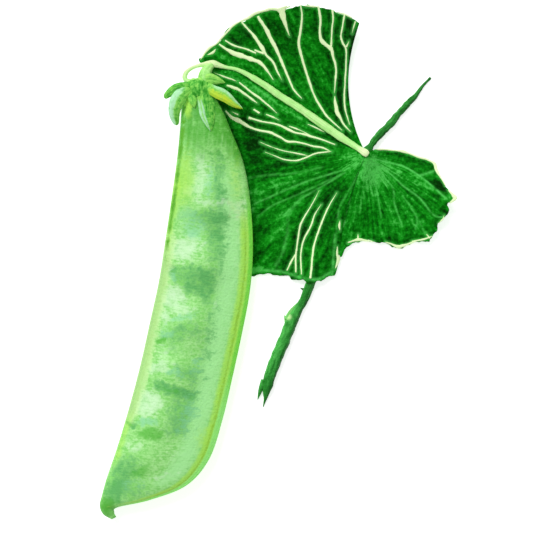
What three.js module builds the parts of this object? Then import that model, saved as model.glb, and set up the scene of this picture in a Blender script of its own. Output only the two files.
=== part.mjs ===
// A pea pod picked on a short sprig: the pod hangs by a hooked pedicel from its peduncle, which
// lies along the larger of the two stipules that clasp the stem at one node. The sprig lies on its
// side, so the pod, the stem and the leaf margins rest on z = 0. Millimetres, +Z up, +Y towards
// the leaf's top margin, origin at the bottom centre of the whole sprig.

import * as THREE from 'three';

// ---- Driving dimensions ----

const GAP = 0.3; // between neighbours that meet

const POD_MIDDLE_HEIGHT = 3.6; // both sutures run at this height
const PEA_RELIEF = 1.35; // how far a pea pushes each wall out
const PEA_ACROSS = 0.25; // half-breadth of that swelling, as a share of the pod's breadth
const PEA_ALONG = 0.62; // and its half-length, in rungs
const POD_LEAST_BULGE = 0.15; // keeps the sutures from closing to a knife edge
const POD_STATIONS = 46;
const POD_SIDE_POINTS = 12;

const NODE_X = 17.6; // the stem's node, where both stipules and the peduncle start
const NODE_Y = 21.7;
const LEAF_THICKNESS = 0.5;
const LEAF_FLOOR = 0.5; // height of the leaf's middle surface where it lies flat
const LEAF_HUB_RISE = 0.65; // extra height around the node
const LEAF_HUB_REACH = 18;
const STEM_RIDGE_RISE = 1.8; // the leaf rides over the stem beneath it
const STEM_RIDGE_REACH = 3;
const STEM_HEADING = new THREE.Vector2(-0.41, -0.912); // from the node down the stem
const TOP_LIFT = 4.5; // the leaf's top margin lifts by this much
const TOP_LIFT_RADIUS = 30; // at this distance from the node
const TOP_LIFT_TURN = 108; // in this direction, degrees from +X
const TOP_LIFT_SPREAD = 22; // and this many degrees to either side
const TIP_LIFT = 3.2; // the same four for the smaller stipule's tip
const TIP_LIFT_RADIUS = 20;
const TIP_LIFT_TURN = -28;
const TIP_LIFT_SPREAD = 20;
const LEAF_START = 0.05; // the blades begin at this share of the way from node to margin
const LEFT_STIPULE_RAYS = 57;
const LEFT_STIPULE_RINGS = 8;
const RIGHT_STIPULE_RAYS = 39;
const RIGHT_STIPULE_RINGS = 6;

const CUP_MIDDLE_X = -16.1; // the calyx cup is straight and runs along y
const CUP_SIDES = 16;
const SEPAL_THICKNESS = 0.5;
const SEPAL_STATIONS = 7;
const SEPAL_PARTS = [-1, -0.5, 0, 0.5, 1]; // places across a sepal
const SEPAL_CUPPING = 0.25; // its margins lie lower than its middle
const FRONT_SEPAL_START = 0.1; // in rungs of the pod, which it lies on
const FRONT_SEPAL_LENGTH = 1.95;
const FRONT_SEPAL_ACROSS = 0.6; // its middle, as a share of the pod's breadth
const FRONT_SEPAL_REACH = 0.2; // its half-breadth at the base, in the same share

const LEAST_TUBE_RADIUS = 0.12;
const PEDUNCLE_STATIONS = 30;
const PEDUNCLE_SIDES = 10;
const PEDICEL_STATIONS = 18;
const PEDICEL_SIDES = 8;
const STEM_STATIONS = 50;
const STEM_SIDES = 10;

// Rungs across the pod from its left (ventral) suture to its right (dorsal) one, from the calyx to
// the beak: left x, left y, right x, right y, half-thickness between them.
const POD_RUNGS = [
  [-18.0, 34.1, -13.8, 34.6, 1.8],
  [-18.3, 30.5, -11.5, 31.2, 2.2],
  [-19.5, 26.8, -9.3, 26.4, 2.5],
  [-20.2, 20.5, -6.8, 19.6, 2.8],
  [-21.4, 12.5, -5.3, 10.8, 2.9],
  [-22.6, 4.5, -5.0, 2.2, 2.9],
  [-23.8, -3.5, -5.6, -6.0, 2.9],
  [-25.6, -12.0, -7.2, -14.5, 2.9],
  [-27.5, -20.5, -9.0, -23.0, 2.9],
  [-29.8, -29.0, -11.0, -31.5, 2.8],
  [-32.2, -37.0, -13.6, -39.2, 2.6],
  [-34.2, -43.0, -18.2, -44.5, 2.2],
  [-35.3, -46.6, -25.5, -47.4, 1.7],
  [-35.6, -48.6, -32.0, -48.9, 1.1],
  [-34.9, -50.3, -32.7, -49.9, 0.8],
  [-33.2, -51.3, -32.3, -50.8, 0.35],
];

// Peas inside the closed pod show only as swellings: rung number, share of the breadth, size.
const PEAS = [
  [2.5, 0.52, 0.55],
  [3.95, 0.5, 0.9],
  [5.5, 0.44, 1.0],
  [6.95, 0.4, 1.0],
  [8.1, 0.37, 0.95],
  [9.15, 0.35, 0.85],
  [10.1, 0.34, 0.6],
];

// Rings of the calyx cup from the pedicel to its rim: y, half-width, half-height.
const CUP_RINGS = [
  [36.9, 0.9, 0.8],
  [36.5, 1.5, 1.3],
  [35.6, 2.1, 1.8],
  [35.0, 2.35, 2.1],
];

// The four sepals that stand clear of the pod: base, bend and tip of the midrib, half-breadth.
const SEPALS = [
  {
    name: 'sepal_upper_left',
    midrib: [[-18.7, 35.1, 4.6], [-20.4, 35.0, 4.9], [-22.3, 33.5, 4.3]],
    halfWidth: 0.65,
    color: 0x66ba4b,
  },
  {
    name: 'sepal_lower_left',
    midrib: [[-18.8, 34.2, 5.2], [-21.6, 31.4, 5.6], [-20.3, 28.0, 4.6]],
    halfWidth: 0.95,
    color: 0x6cbe3f,
  },
  {
    name: 'sepal_right',
    midrib: [[-13.3, 34.9, 5.0], [-10.4, 34.4, 5.6], [-7.4, 31.1, 4.8]],
    halfWidth: 0.95,
    color: 0xadde3c,
  },
  {
    name: 'sepal_upper_right',
    midrib: [[-13.3, 36.3, 4.4], [-12.0, 36.9, 4.6], [-10.4, 36.1, 4.2]],
    halfWidth: 0.5,
    color: 0x96dc6e,
  },
];

// Margin of the larger stipule, from its top right corner round the left side, which is tucked
// under the pod, to its bottom right corner.
const LEFT_STIPULE_MARGIN = [
  [16.0, 47.5], [13.4, 49.7], [8.0, 50.9], [4.0, 51.3], [-1.4, 50.5], [-7.2, 48.1],
  [-11.0, 44.9], [-15.0, 41.2], [-14.6, 39.0], [-13.2, 34.5], [-12.2, 30.0], [-11.2, 22.5],
  [-9.2, 12.5], [-7.6, 2.5], [-6.0, -2.4], [-1.6, -2.1], [3.4, -3.3], [6.4, -3.9],
  [10.4, -2.5], [11.8, 0.1],
];
const LEFT_STIPULE_BOWS = [2.95, -1.2]; // sideways bow of its first and last edges

// Margin of the smaller stipule, clockwise from the notch beside the stem.
const RIGHT_STIPULE_MARGIN = [
  [19.6, 22.7], [24.8, 22.5], [28.0, 21.3], [31.4, 20.1], [33.0, 16.2], [35.5, 12.9],
  [34.0, 9.7], [31.0, 5.3], [27.6, 4.1], [24.2, 3.1], [20.6, 4.1], [17.6, 4.3],
  [14.8, 3.7], [13.3, 1.9],
];
const RIGHT_STIPULE_BOWS = [0, -1.1];

// Peduncle from the pedicel to the node: x, y, radius.
const PEDUNCLE_ROUTE = [
  [-13.7, 39.5, 0.4],
  [-10.2, 39.1, 0.4],
  [-7.6, 38.5, 0.45],
  [-4.6, 36.8, 0.6],
  [0.4, 33.6, 0.75],
  [4.4, 31.1, 0.85],
  [9.2, 27.7, 0.85],
  [12.4, 25.3, 0.8],
  [15.2, 23.6, 0.65],
  [17.2, 22.0, 0.5],
];

// Pedicel: the crook between peduncle and calyx, x, y, z, radius.
const PEDICEL_ROUTE = [
  [-14.4, 39.5, 1.5, 0.38],
  [-15.7, 39.2, 2.3, 0.4],
  [-17.3, 38.6, 3.2, 0.42],
  [-18.4, 37.7, 3.9, 0.42],
  [-18.5, 36.9, 4.2, 0.42],
  [-17.9, 36.6, 4.1, 0.42],
];

// Stem from its torn lower end, through the node, to the thin upper end: x, y, radius.
const STEM_ROUTE = [
  [-3.0, -28.6, 0.35],
  [-3.0, -27.0, 1.0],
  [-2.7, -25.5, 1.25],
  [-1.4, -21.5, 1.3],
  [0.2, -17.5, 1.3],
  [2.4, -11.8, 1.3],
  [3.9, -9.3, 1.1],
  [5.1, -7.0, 0.95],
  [6.0, -4.1, 0.9],
  [9.5, 3.7, 0.9],
  [14.5, 14.8, 0.95],
  [17.0, 20.3, 1.15],
  [17.9, 22.1, 1.1],
  [18.7, 23.4, 0.7],
  [19.7, 24.7, 0.75],
  [22.4, 27.9, 0.7],
  [26.1, 32.3, 0.6],
  [27.7, 33.9, 0.42],
  [28.8, 35.3, 0.35],
  [30.5, 36.8, 0.18],
];

// ---- Closed bodies from rows of points ----

function closedBody(rows, name, color, roughness) {
  // Each row is one ring of points; rings are joined in order and the two end rings are capped
  // by strips between their upper and lower halves, so that the body is watertight.
  const count = rows[0].length;
  const half = count / 2;
  const index = [];
  for (let row = 0; row < rows.length - 1; row += 1) {
    for (let i = 0; i < count; i += 1) {
      const j = (i + 1) % count;
      const a = row * count + i;
      const b = row * count + j;
      index.push(a, b, b + count, a, b + count, a + count);
    }
  }
  for (const [start, flip] of [[0, false], [(rows.length - 1) * count, true]]) {
    for (let i = 0; i < half - 1; i += 1) {
      const quad = [start + i, start + i + 1, start + count - 2 - i, start + count - 1 - i];
      const [a, b, c, d] = quad;
      index.push(...(flip ? [a, b, c, a, c, d] : [a, c, b, a, d, c]));
    }
  }
  const points = rows.flat();
  if (signedVolume(points, index) < 0) {
    index.reverse();
  }
  const geometry = new THREE.BufferGeometry();
  geometry.setFromPoints(points);
  geometry.setIndex(index);
  geometry.computeVertexNormals();
  const mesh = new THREE.Mesh(geometry, new THREE.MeshStandardMaterial({
    color,
    roughness,
    metalness: 0,
  }));
  mesh.name = name;
  return mesh;
}

function signedVolume(points, index) {
  let volume = 0;
  const cross = new THREE.Vector3();
  for (let i = 0; i < index.length; i += 3) {
    cross.crossVectors(points[index[i + 1]], points[index[i + 2]]);
    volume += points[index[i]].dot(cross);
  }
  return volume;
}

function smoothRoute(rows) {
  // A smooth curve through rows of three numbers, as a function of the row number.
  const curve = new THREE.CatmullRomCurve3(rows.map((row) => new THREE.Vector3(...row)));
  return (place) => curve.getPoint(place / (rows.length - 1));
}

function taperedTube(route, radii, stations, sides, name, color, roughness) {
  // A round tube along a route of 3-D points, with its own radius at each of them.
  const curve = new THREE.CatmullRomCurve3(route);
  const size = smoothRoute(radii.map((radius) => [radius, 0, 0]));
  const rows = [];
  for (let k = 0; k <= stations; k += 1) {
    const share = k / stations;
    const centre = curve.getPoint(share);
    const heading = curve.getTangent(share);
    const across = new THREE.Vector3(-heading.y, heading.x, 0).normalize();
    const up = new THREE.Vector3().crossVectors(heading, across).normalize();
    const radius = Math.max(size(share * (radii.length - 1)).x, LEAST_TUBE_RADIUS);
    const ring = [];
    for (let i = 0; i < sides; i += 1) {
      const angle = (2 * Math.PI * (i + 0.5)) / sides;
      const point = centre.clone()
        .addScaledVector(across, radius * Math.cos(angle))
        .addScaledVector(up, radius * Math.sin(angle));
      ring.push(point.setZ(Math.max(point.z, 0)));
    }
    rows.push(ring);
  }
  return closedBody(rows, name, color, roughness);
}

function slab(middle, thickness, name, color, roughness) {
  // A thin sheet of even thickness, measured upright, on both sides of a grid of points.
  const rows = middle.map((line) => {
    const above = line.map((point) => point.clone().setZ(point.z + thickness / 2));
    const below = line.map((point) => point.clone().setZ(point.z - thickness / 2));
    return [...above, ...below.reverse()];
  });
  return closedBody(rows, name, color, roughness);
}

// ---- Pod ----

const leftSuture = smoothRoute(POD_RUNGS.map(([x, y]) => [x, y, 0]));
const rightSuture = smoothRoute(POD_RUNGS.map(([, , x, y]) => [x, y, 0]));
const podHalfThickness = smoothRoute(POD_RUNGS.map((rung) => [rung[4], 0, 0]));

function podSwelling(rung, across) {
  let swelling = 0;
  for (const [place, share, size] of PEAS) {
    const along = (rung - place) / PEA_ALONG;
    const aside = (across - share) / PEA_ACROSS;
    swelling += size * Math.exp(-along * along - aside * aside);
  }
  return PEA_RELIEF * swelling;
}

function podPoint(rung, across, side) {
  // A point of the wall: across runs 0 to 1 between the sutures, side is 1 above and -1 below.
  const point = leftSuture(rung).lerp(rightSuture(rung), across);
  const lens = Math.sqrt(Math.max(4 * across * (1 - across), 0));
  const bulge = podHalfThickness(rung).x * lens + podSwelling(rung, across) * lens;
  return point.setZ(Math.max(POD_MIDDLE_HEIGHT + side * Math.max(bulge, POD_LEAST_BULGE), 0));
}

function makePod() {
  const last = POD_RUNGS.length - 1;
  const rows = [];
  for (let k = 0; k <= POD_STATIONS; k += 1) {
    const rung = (last * k) / POD_STATIONS;
    const above = [];
    const below = [];
    for (let i = 0; i <= POD_SIDE_POINTS; i += 1) {
      const across = 0.5 - 0.5 * Math.cos((Math.PI * i) / POD_SIDE_POINTS);
      above.push(podPoint(rung, across, 1));
      below.push(podPoint(rung, across, -1));
    }
    rows.push([...above, ...below.reverse()]);
  }
  return closedBody(rows, 'pod', 0x93d97c, 0.45);
}

// ---- Calyx cup and its five sepals ----

function makeCalyxCup() {
  // A shallow cup, round in section, that widens from the pedicel to the pod's neck.
  const rows = CUP_RINGS.map(([y, halfWidth, halfHeight]) => {
    const ring = [];
    for (let i = 0; i < CUP_SIDES; i += 1) {
      const angle = (2 * Math.PI * (i + 0.5)) / CUP_SIDES;
      ring.push(new THREE.Vector3(
        CUP_MIDDLE_X + halfWidth * Math.cos(angle),
        y,
        POD_MIDDLE_HEIGHT + halfHeight * Math.sin(angle),
      ));
    }
    return ring;
  });
  return closedBody(rows, 'calyx_cup', 0x52af48, 0.6);
}

function makeSepal({ name, midrib, halfWidth, color }) {
  // A lobe along a bowed midrib, widest a third of the way and pointed at the tip.
  const spine = new THREE.QuadraticBezierCurve3(...midrib.map((row) => new THREE.Vector3(...row)));
  const lines = [];
  for (let k = 0; k <= SEPAL_STATIONS; k += 1) {
    const share = k / SEPAL_STATIONS;
    const centre = spine.getPoint(share);
    const heading = spine.getTangent(share);
    const aside = new THREE.Vector3(-heading.y, heading.x, 0).normalize();
    const reach = halfWidth * Math.max(Math.sin(Math.PI * (0.2 + 0.77 * share)) ** 0.8, 0.12);
    lines.push(SEPAL_PARTS.map((part) => {
      const point = centre.clone().addScaledVector(aside, part * reach);
      return point.setZ(point.z - SEPAL_CUPPING * part * part);
    }));
  }
  return slab(lines, SEPAL_THICKNESS, name, color, 0.6);
}

function makeFrontSepal() {
  // This one lies on the pod's upper wall and follows it.
  const lines = [];
  for (let k = 0; k <= SEPAL_STATIONS; k += 1) {
    const share = k / SEPAL_STATIONS;
    const rung = FRONT_SEPAL_START + FRONT_SEPAL_LENGTH * share;
    const reach = FRONT_SEPAL_REACH * (1 - 0.85 * share ** 1.5);
    lines.push(SEPAL_PARTS.map((part) => {
      const point = podPoint(rung, FRONT_SEPAL_ACROSS + part * reach, 1);
      return point.setZ(point.z + GAP + SEPAL_THICKNESS / 2);
    }));
  }
  return slab(lines, SEPAL_THICKNESS, 'sepal_front', 0x70c455, 0.6);
}

// ---- Stipules ----

function bell(value, centre, reach) {
  const distance = (value - centre) / reach;
  return Math.exp(-distance * distance);
}

function leafHeight(x, y) {
  // Middle surface of both stipules: flat on the floor, raised around the node and over the stem,
  // with two margins that lift.
  const dx = x - NODE_X;
  const dy = y - NODE_Y;
  const radius = Math.hypot(dx, dy);
  const turn = (Math.atan2(dy, dx) * 180) / Math.PI;
  const aside = dx * STEM_HEADING.y - dy * STEM_HEADING.x;
  const hub = LEAF_HUB_RISE * bell(radius, 0, LEAF_HUB_REACH);
  const ridge = STEM_RIDGE_RISE * bell(aside, 0, STEM_RIDGE_REACH);
  const top = TOP_LIFT * (radius / TOP_LIFT_RADIUS) ** 2 * bell(turn, TOP_LIFT_TURN, TOP_LIFT_SPREAD);
  const tip = TIP_LIFT * (radius / TIP_LIFT_RADIUS) ** 2 * bell(turn, TIP_LIFT_TURN, TIP_LIFT_SPREAD);
  return LEAF_FLOOR + hub + ridge + top + tip;
}

function makeStipule(name, margin, bows, rays, rings, color) {
  // A fan of bowed rays from the node to the margin. The first and last sixth of the rays carry
  // the two bows.
  const edge = smoothRoute(margin.map(([x, y]) => [x, y, 0]));
  const lines = [];
  for (let k = 0; k <= rays; k += 1) {
    const share = k / rays;
    const end = edge((margin.length - 1) * share);
    const bow = bows[0] * Math.max(1 - 6 * share, 0) + bows[1] * Math.max(6 * share - 5, 0);
    const ray = new THREE.Vector2(end.x - NODE_X, end.y - NODE_Y);
    const aside = new THREE.Vector2(-ray.y, ray.x).normalize();
    const line = [];
    for (let i = 0; i <= rings; i += 1) {
      const reach = LEAF_START + ((1 - LEAF_START) * i) / rings;
      const swing = bow * 4 * reach * (1 - reach);
      const x = NODE_X + ray.x * reach + aside.x * swing;
      const y = NODE_Y + ray.y * reach + aside.y * swing;
      line.push(new THREE.Vector3(x, y, leafHeight(x, y)));
    }
    lines.push(line);
  }
  return slab(lines, LEAF_THICKNESS, name, color, 0.55);
}

// ---- Peduncle, pedicel and stem ----

function makePeduncle() {
  // It lies along the larger stipule, clear of the leaf's upper face.
  const route = PEDUNCLE_ROUTE.map(([x, y, radius]) => {
    const height = leafHeight(x, y) + LEAF_THICKNESS / 2 + GAP + radius;
    return new THREE.Vector3(x, y, height);
  });
  const radii = PEDUNCLE_ROUTE.map((row) => row[2]);
  return taperedTube(route, radii, PEDUNCLE_STATIONS, PEDUNCLE_SIDES, 'peduncle', 0xb2f292, 0.6);
}

function makePedicel() {
  const route = PEDICEL_ROUTE.map(([x, y, z]) => new THREE.Vector3(x, y, z));
  const radii = PEDICEL_ROUTE.map((row) => row[3]);
  return taperedTube(route, radii, PEDICEL_STATIONS, PEDICEL_SIDES, 'pedicel', 0xd6fba1, 0.6);
}

function makeStem() {
  // The whole stem lies on the floor.
  const route = STEM_ROUTE.map(([x, y, radius]) => new THREE.Vector3(x, y, radius));
  const radii = STEM_ROUTE.map((row) => row[2]);
  return taperedTube(route, radii, STEM_STATIONS, STEM_SIDES, 'stem', 0x238229, 0.65);
}

// ---- The sprig ----

const sprig = new THREE.Group();
sprig.add(
  makePod(),
  makeCalyxCup(),
  makeFrontSepal(),
  ...SEPALS.map(makeSepal),
  makePedicel(),
  makePeduncle(),
  makeStipule(
    'stipule_left',
    LEFT_STIPULE_MARGIN,
    LEFT_STIPULE_BOWS,
    LEFT_STIPULE_RAYS,
    LEFT_STIPULE_RINGS,
    0x12641a,
  ),
  makeStipule(
    'stipule_right',
    RIGHT_STIPULE_MARGIN,
    RIGHT_STIPULE_BOWS,
    RIGHT_STIPULE_RAYS,
    RIGHT_STIPULE_RINGS,
    0x248827,
  ),
  makeStem(),
);

export default sprig;
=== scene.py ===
"""A pea pod on its short sprig, lying on a lit white board and seen from straight above."""

import bpy
import numpy as np
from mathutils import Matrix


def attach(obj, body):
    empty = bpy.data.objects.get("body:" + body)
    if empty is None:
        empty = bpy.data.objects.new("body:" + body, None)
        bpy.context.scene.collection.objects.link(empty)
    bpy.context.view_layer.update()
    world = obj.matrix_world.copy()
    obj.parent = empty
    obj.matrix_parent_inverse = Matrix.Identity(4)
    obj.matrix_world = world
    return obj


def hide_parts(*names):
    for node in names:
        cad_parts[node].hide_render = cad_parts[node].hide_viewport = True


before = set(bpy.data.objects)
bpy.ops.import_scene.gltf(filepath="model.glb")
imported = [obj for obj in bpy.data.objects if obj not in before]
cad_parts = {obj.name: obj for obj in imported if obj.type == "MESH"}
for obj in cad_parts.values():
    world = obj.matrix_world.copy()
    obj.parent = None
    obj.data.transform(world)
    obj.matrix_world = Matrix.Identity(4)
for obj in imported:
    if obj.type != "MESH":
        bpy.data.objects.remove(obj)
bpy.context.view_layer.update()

# ---------------------------------------------------------------------------------------------
# The board, the light and the camera. A white board that glows from within lies under the sprig;
# a broad soft lamp stands at its upper left, the room gives the rest, and the camera hangs
# straight above.
# ---------------------------------------------------------------------------------------------

MM = 0.001  # every size below is in millimetres

BOARD_HALF = 1500.0
BOARD_COLOUR = (0.8, 0.8, 0.8, 1.0)
BOARD_ROUGHNESS = 0.9
BOARD_SHEEN = 0.1
BOARD_GLOW = 0.62  # keeps cast shadows faint
WHITE = (1.0, 1.0, 1.0, 1.0)
ROOM_LIGHT = 0.5
KEY_LIGHT = 2.15
KEY_SPREAD = 0.5  # radians across the lamp as the sprig sees it
KEY_TURN = (0.72, 0.0, 3.63)  # tilt from overhead, then turned to shine from the upper left
VIEW_WIDTH = 108.0
VIEW_AIM = (-1.6, -1.5, 3.0)
CAMERA_HEIGHT = 450.0
SENSOR_WIDTH = 36.0
CAMERA_CLIP = (0.01, 10.0)  # metres


def make_board():
    """A flat glowing square at height 0."""
    corners = np.array([(-1, -1, 0), (1, -1, 0), (1, 1, 0), (-1, 1, 0)], float) * BOARD_HALF * MM
    mesh = bpy.data.meshes.new("board")
    mesh.from_pydata(corners.tolist(), [], [(0, 1, 2, 3)])
    board = bpy.data.objects.new("board", mesh)
    bpy.context.scene.collection.objects.link(board)
    paint = bpy.data.materials.new("white board")
    paint.use_nodes = True
    shader = paint.node_tree.nodes["Principled BSDF"]
    shader.inputs["Base Color"].default_value = BOARD_COLOUR
    shader.inputs["Roughness"].default_value = BOARD_ROUGHNESS
    shader.inputs["Specular IOR Level"].default_value = BOARD_SHEEN
    shader.inputs["Emission Color"].default_value = WHITE
    shader.inputs["Emission Strength"].default_value = BOARD_GLOW
    mesh.materials.append(paint)


def light_the_board():
    """White room light all round and one broad lamp."""
    world = bpy.data.worlds.new("room")
    world.use_nodes = True
    background = world.node_tree.nodes["Background"]
    background.inputs["Color"].default_value = WHITE
    background.inputs["Strength"].default_value = ROOM_LIGHT
    bpy.context.scene.world = world
    lamp = bpy.data.lights.new("key", "SUN")
    lamp.energy = KEY_LIGHT
    lamp.angle = KEY_SPREAD
    key = bpy.data.objects.new("key", lamp)
    key.rotation_euler = KEY_TURN
    bpy.context.scene.collection.objects.link(key)


def hang_camera():
    """A long lens straight above, wide enough for VIEW_WIDTH at the sprig."""
    lens = bpy.data.cameras.new("camera")
    lens.sensor_width = SENSOR_WIDTH
    lens.lens = SENSOR_WIDTH * (CAMERA_HEIGHT - VIEW_AIM[2]) / VIEW_WIDTH
    lens.clip_start, lens.clip_end = CAMERA_CLIP
    camera = bpy.data.objects.new("camera", lens)
    camera.location = (VIEW_AIM[0] * MM, VIEW_AIM[1] * MM, CAMERA_HEIGHT * MM)
    bpy.context.scene.collection.objects.link(camera)
    bpy.context.scene.camera = camera
    bpy.context.scene.view_settings.view_transform = "Standard"


make_board()
light_the_board()
hang_camera()

# ---------------------------------------------------------------------------------------------
# The stem: a thin ridged stalk, green all through, torn off at its lower end and pinched off at
# its tender upper end. It swells at the node where both stipules clasp it, and a strip of its
# bark is torn up below them.
# ---------------------------------------------------------------------------------------------

# x, y, radius and height of the centre, from the torn end to the tip
STEM_ROUTE = [
    (-3.0, -29.1, 0.08, 0.35), (-2.75, -28.2, 0.2, 0.5), (-2.5, -27.2, 0.4, 0.7),
    (-2.3, -25.9, 0.78, 0.95), (-2.0, -24.5, 1.06, 1.1), (-1.7, -23.1, 1.16, 1.2),
    (-1.15, -21.5, 1.18, 1.25), (-0.4, -19.5, 1.18, 1.3), (0.45, -17.5, 1.17, 1.3),
    (1.3, -15.5, 1.16, 1.3), (1.95, -13.8, 1.18, 1.3), (2.4, -12.5, 1.2, 1.3),
    (2.9, -11.4, 1.2, 1.3), (3.65, -10.1, 1.0, 1.2), (4.15, -9.3, 0.9, 1.15),
    (4.6, -8.6, 0.86, 1.1), (5.25, -7.4, 0.86, 1.05), (6.15, -5.1, 0.95, 1.0),
    (6.9, -3.2, 1.0, 1.0), (9.5, 3.7, 0.9, 0.95), (14.5, 14.8, 0.95, 1.0),
    (16.9, 20.3, 1.15, 1.2), (17.9, 22.1, 1.05, 1.3), (18.7, 23.45, 0.66, 1.1),
    (19.55, 24.75, 0.74, 1.0), (21.1, 26.4, 0.74, 0.9), (22.6, 27.9, 0.76, 0.85),
    (24.7, 30.4, 0.68, 0.75), (26.4, 32.3, 0.68, 0.7), (27.9, 33.8, 0.5, 0.55),
    (29.05, 35.3, 0.36, 0.45), (30.8, 37.2, 0.24, 0.3),
]
# Two slivers of the torn end, a spur, and the torn bark on both sides of the scar: root x,
# root y, tip x, tip y, radius, tone and how pale it is
STEM_FIBRES = [
    (-2.9, -23.6, -4.1, -27.6, 0.55, 0.6, 0.0),
    (-2.1, -24.6, -2.0, -27.0, 0.4, 0.35, 0.0),
    (5.7, -5.7, 4.5, -5.1, 0.3, 0.35, 0.0),
    (1.95, -11.6, 3.9, -8.1, 0.85, 0.85, 0.25),
    (2.6, -13.4, 1.25, -10.6, 0.75, 0.85, 0.4),
]
STEM_SCAR = (2.1, -10.9, 0.6)  # where the bark is torn off: x, y and reach
STEM_DARK = (0.002, 0.055, 0.004)
STEM_MID = (0.018, 0.225, 0.022)
STEM_LIGHT = (0.095, 0.55, 0.095)
STEM_TORN = (0.52, 0.8, 0.34)
STEM_LENGTH = 75.0
STEM_RINGS = 460
STEM_SIDES = 30
STEM_RIDGE = 0.05  # a share of the radius, as the next one is
STEM_WAVES = 0.07
LOWER_WANDER = 0.06  # how far it wanders aside, and by how much more beyond the node
UPPER_WANDER = 0.08
UPPER_SHARE = 0.72
COVERED_SHARE = 0.64  # beneath the blades it runs straight, for COVERED_REACH to both sides
COVERED_REACH = 0.08
# The stem's painted light and shade is strongest in this stretch.
LIT_STRETCH_Y = -16.0  # the stretch below the scar is pale on its left and dark on its right
LIT_STRETCH_REACH = 6.5


def through(rows, places):
    """A smooth curve through rows of numbers, asked for at places counted in rows.

    Between two rows it is the cubic that passes through both, with slopes of half the step
    between the rows on either side of each.
    """
    rows = np.asarray(rows, float)
    padded = np.vstack([2 * rows[0] - rows[1], rows, 2 * rows[-1] - rows[-2]])
    places = np.clip(np.asarray(places, float), 0, len(rows) - 1)
    start = np.minimum(places.astype(int), len(rows) - 2)
    t = (places - start)[..., None]
    a, b, c, d = (padded[start + k] for k in range(4))
    return b + 0.5 * t * (c - a + t * (2 * a - 5 * b + 4 * c - d + t * (3 * (b - c) + d - a)))


def evenly(rows, count):
    """The curve through rows at count places with even steps along its first two columns."""
    fine = through(rows, np.linspace(0, len(rows) - 1, 40 * len(rows)))
    steps = np.hypot(*np.diff(fine[:, :2], axis=0).T)
    run = np.concatenate([[0.0], np.cumsum(steps)])
    wanted = np.linspace(0, run[-1], count)
    return np.stack([np.interp(wanted, run, column) for column in fine.T], axis=-1)


def wander(x, y, size, seed):
    """Smooth random numbers from -1 to 1 over a plane, in bumps of about the given size.

    A seeded lattice of random numbers is joined up by cubic steps.
    """
    side, shift = 97, 41
    lattice = np.random.default_rng(seed).uniform(-1, 1, (side, side))
    u, v = x / size + shift, y / size + shift
    i, j = np.floor(u).astype(int), np.floor(v).astype(int)
    f, g = u - i, v - j
    f, g = f * f * (3 - 2 * f), g * g * (3 - 2 * g)
    i, j, after_i, after_j = i % side, j % side, (i + 1) % side, (j + 1) % side
    near = lattice[i, j] * (1 - f) + lattice[after_i, j] * f
    far = lattice[i, after_j] * (1 - f) + lattice[after_i, after_j] * f
    return near * (1 - g) + far * g


def rough(x, y, size, seed):
    """Three sizes of wander, each half as large and half as strong as the one before."""
    return (
        wander(x, y, size, seed)
        + 0.5 * wander(x, y, size / 2, seed + 1)
        + 0.25 * wander(x, y, size / 4, seed + 2)
    ) / 1.4


def bell(value, centre, reach):
    """1 at centre and falling to nothing over a few times reach."""
    return np.exp(-(((value - centre) / reach) ** 2))


def rise(value, none, full):
    """0 where value is none, 1 where it is full, even between the two and held beyond them."""
    return np.clip((value - none) / (full - none), 0, 1)


def skin(name, rings, masks):
    """A closed skin over rows of rings, each ring an upper half and a lower half of points.

    Neighbouring rings are joined by four-sided faces and the first and last ring are shut by
    strips between their halves. masks holds one number, or one vector, for every point.
    """
    rows, count, _ = rings.shape
    half = count // 2
    spot = np.arange(rows * count).reshape(rows, count)
    after = np.roll(spot, -1, axis=1)
    sides = np.stack([spot[:-1], after[:-1], after[1:], spot[1:]], axis=-1).reshape(-1, 4)
    strip = np.arange(half - 1)
    near = np.stack([strip, count - 1 - strip, count - 2 - strip, strip + 1], axis=-1)
    far = near[:, ::-1] + (rows - 1) * count
    faces = np.concatenate([sides, near, far])
    points = rings.reshape(-1, 3) * MM
    a, b, c, d = (points[faces[:, k]] for k in range(4))
    volume = np.sum(a * np.cross(b, c)) + np.sum(a * np.cross(c, d))
    if volume < 0:
        faces = faces[:, ::-1]
    mesh = bpy.data.meshes.new(name)
    mesh.vertices.add(len(points))
    mesh.vertices.foreach_set("co", points.ravel())
    mesh.loops.add(faces.size)
    mesh.loops.foreach_set("vertex_index", faces.ravel())
    mesh.polygons.add(len(faces))
    mesh.polygons.foreach_set("loop_start", np.arange(0, faces.size, 4))
    mesh.polygons.foreach_set("use_smooth", np.ones(len(faces), bool))
    for mask, values in masks.items():
        values = np.asarray(values, np.float32)
        vector = values.shape == rings.shape
        kind, field = ("FLOAT_VECTOR", "vector") if vector else ("FLOAT", "value")
        mesh.attributes.new(mask, kind, "POINT").data.foreach_set(field, values.ravel())
    mesh.update(calc_edges=True)
    piece = bpy.data.objects.new(name, mesh)
    bpy.context.scene.collection.objects.link(piece)
    return piece


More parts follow.
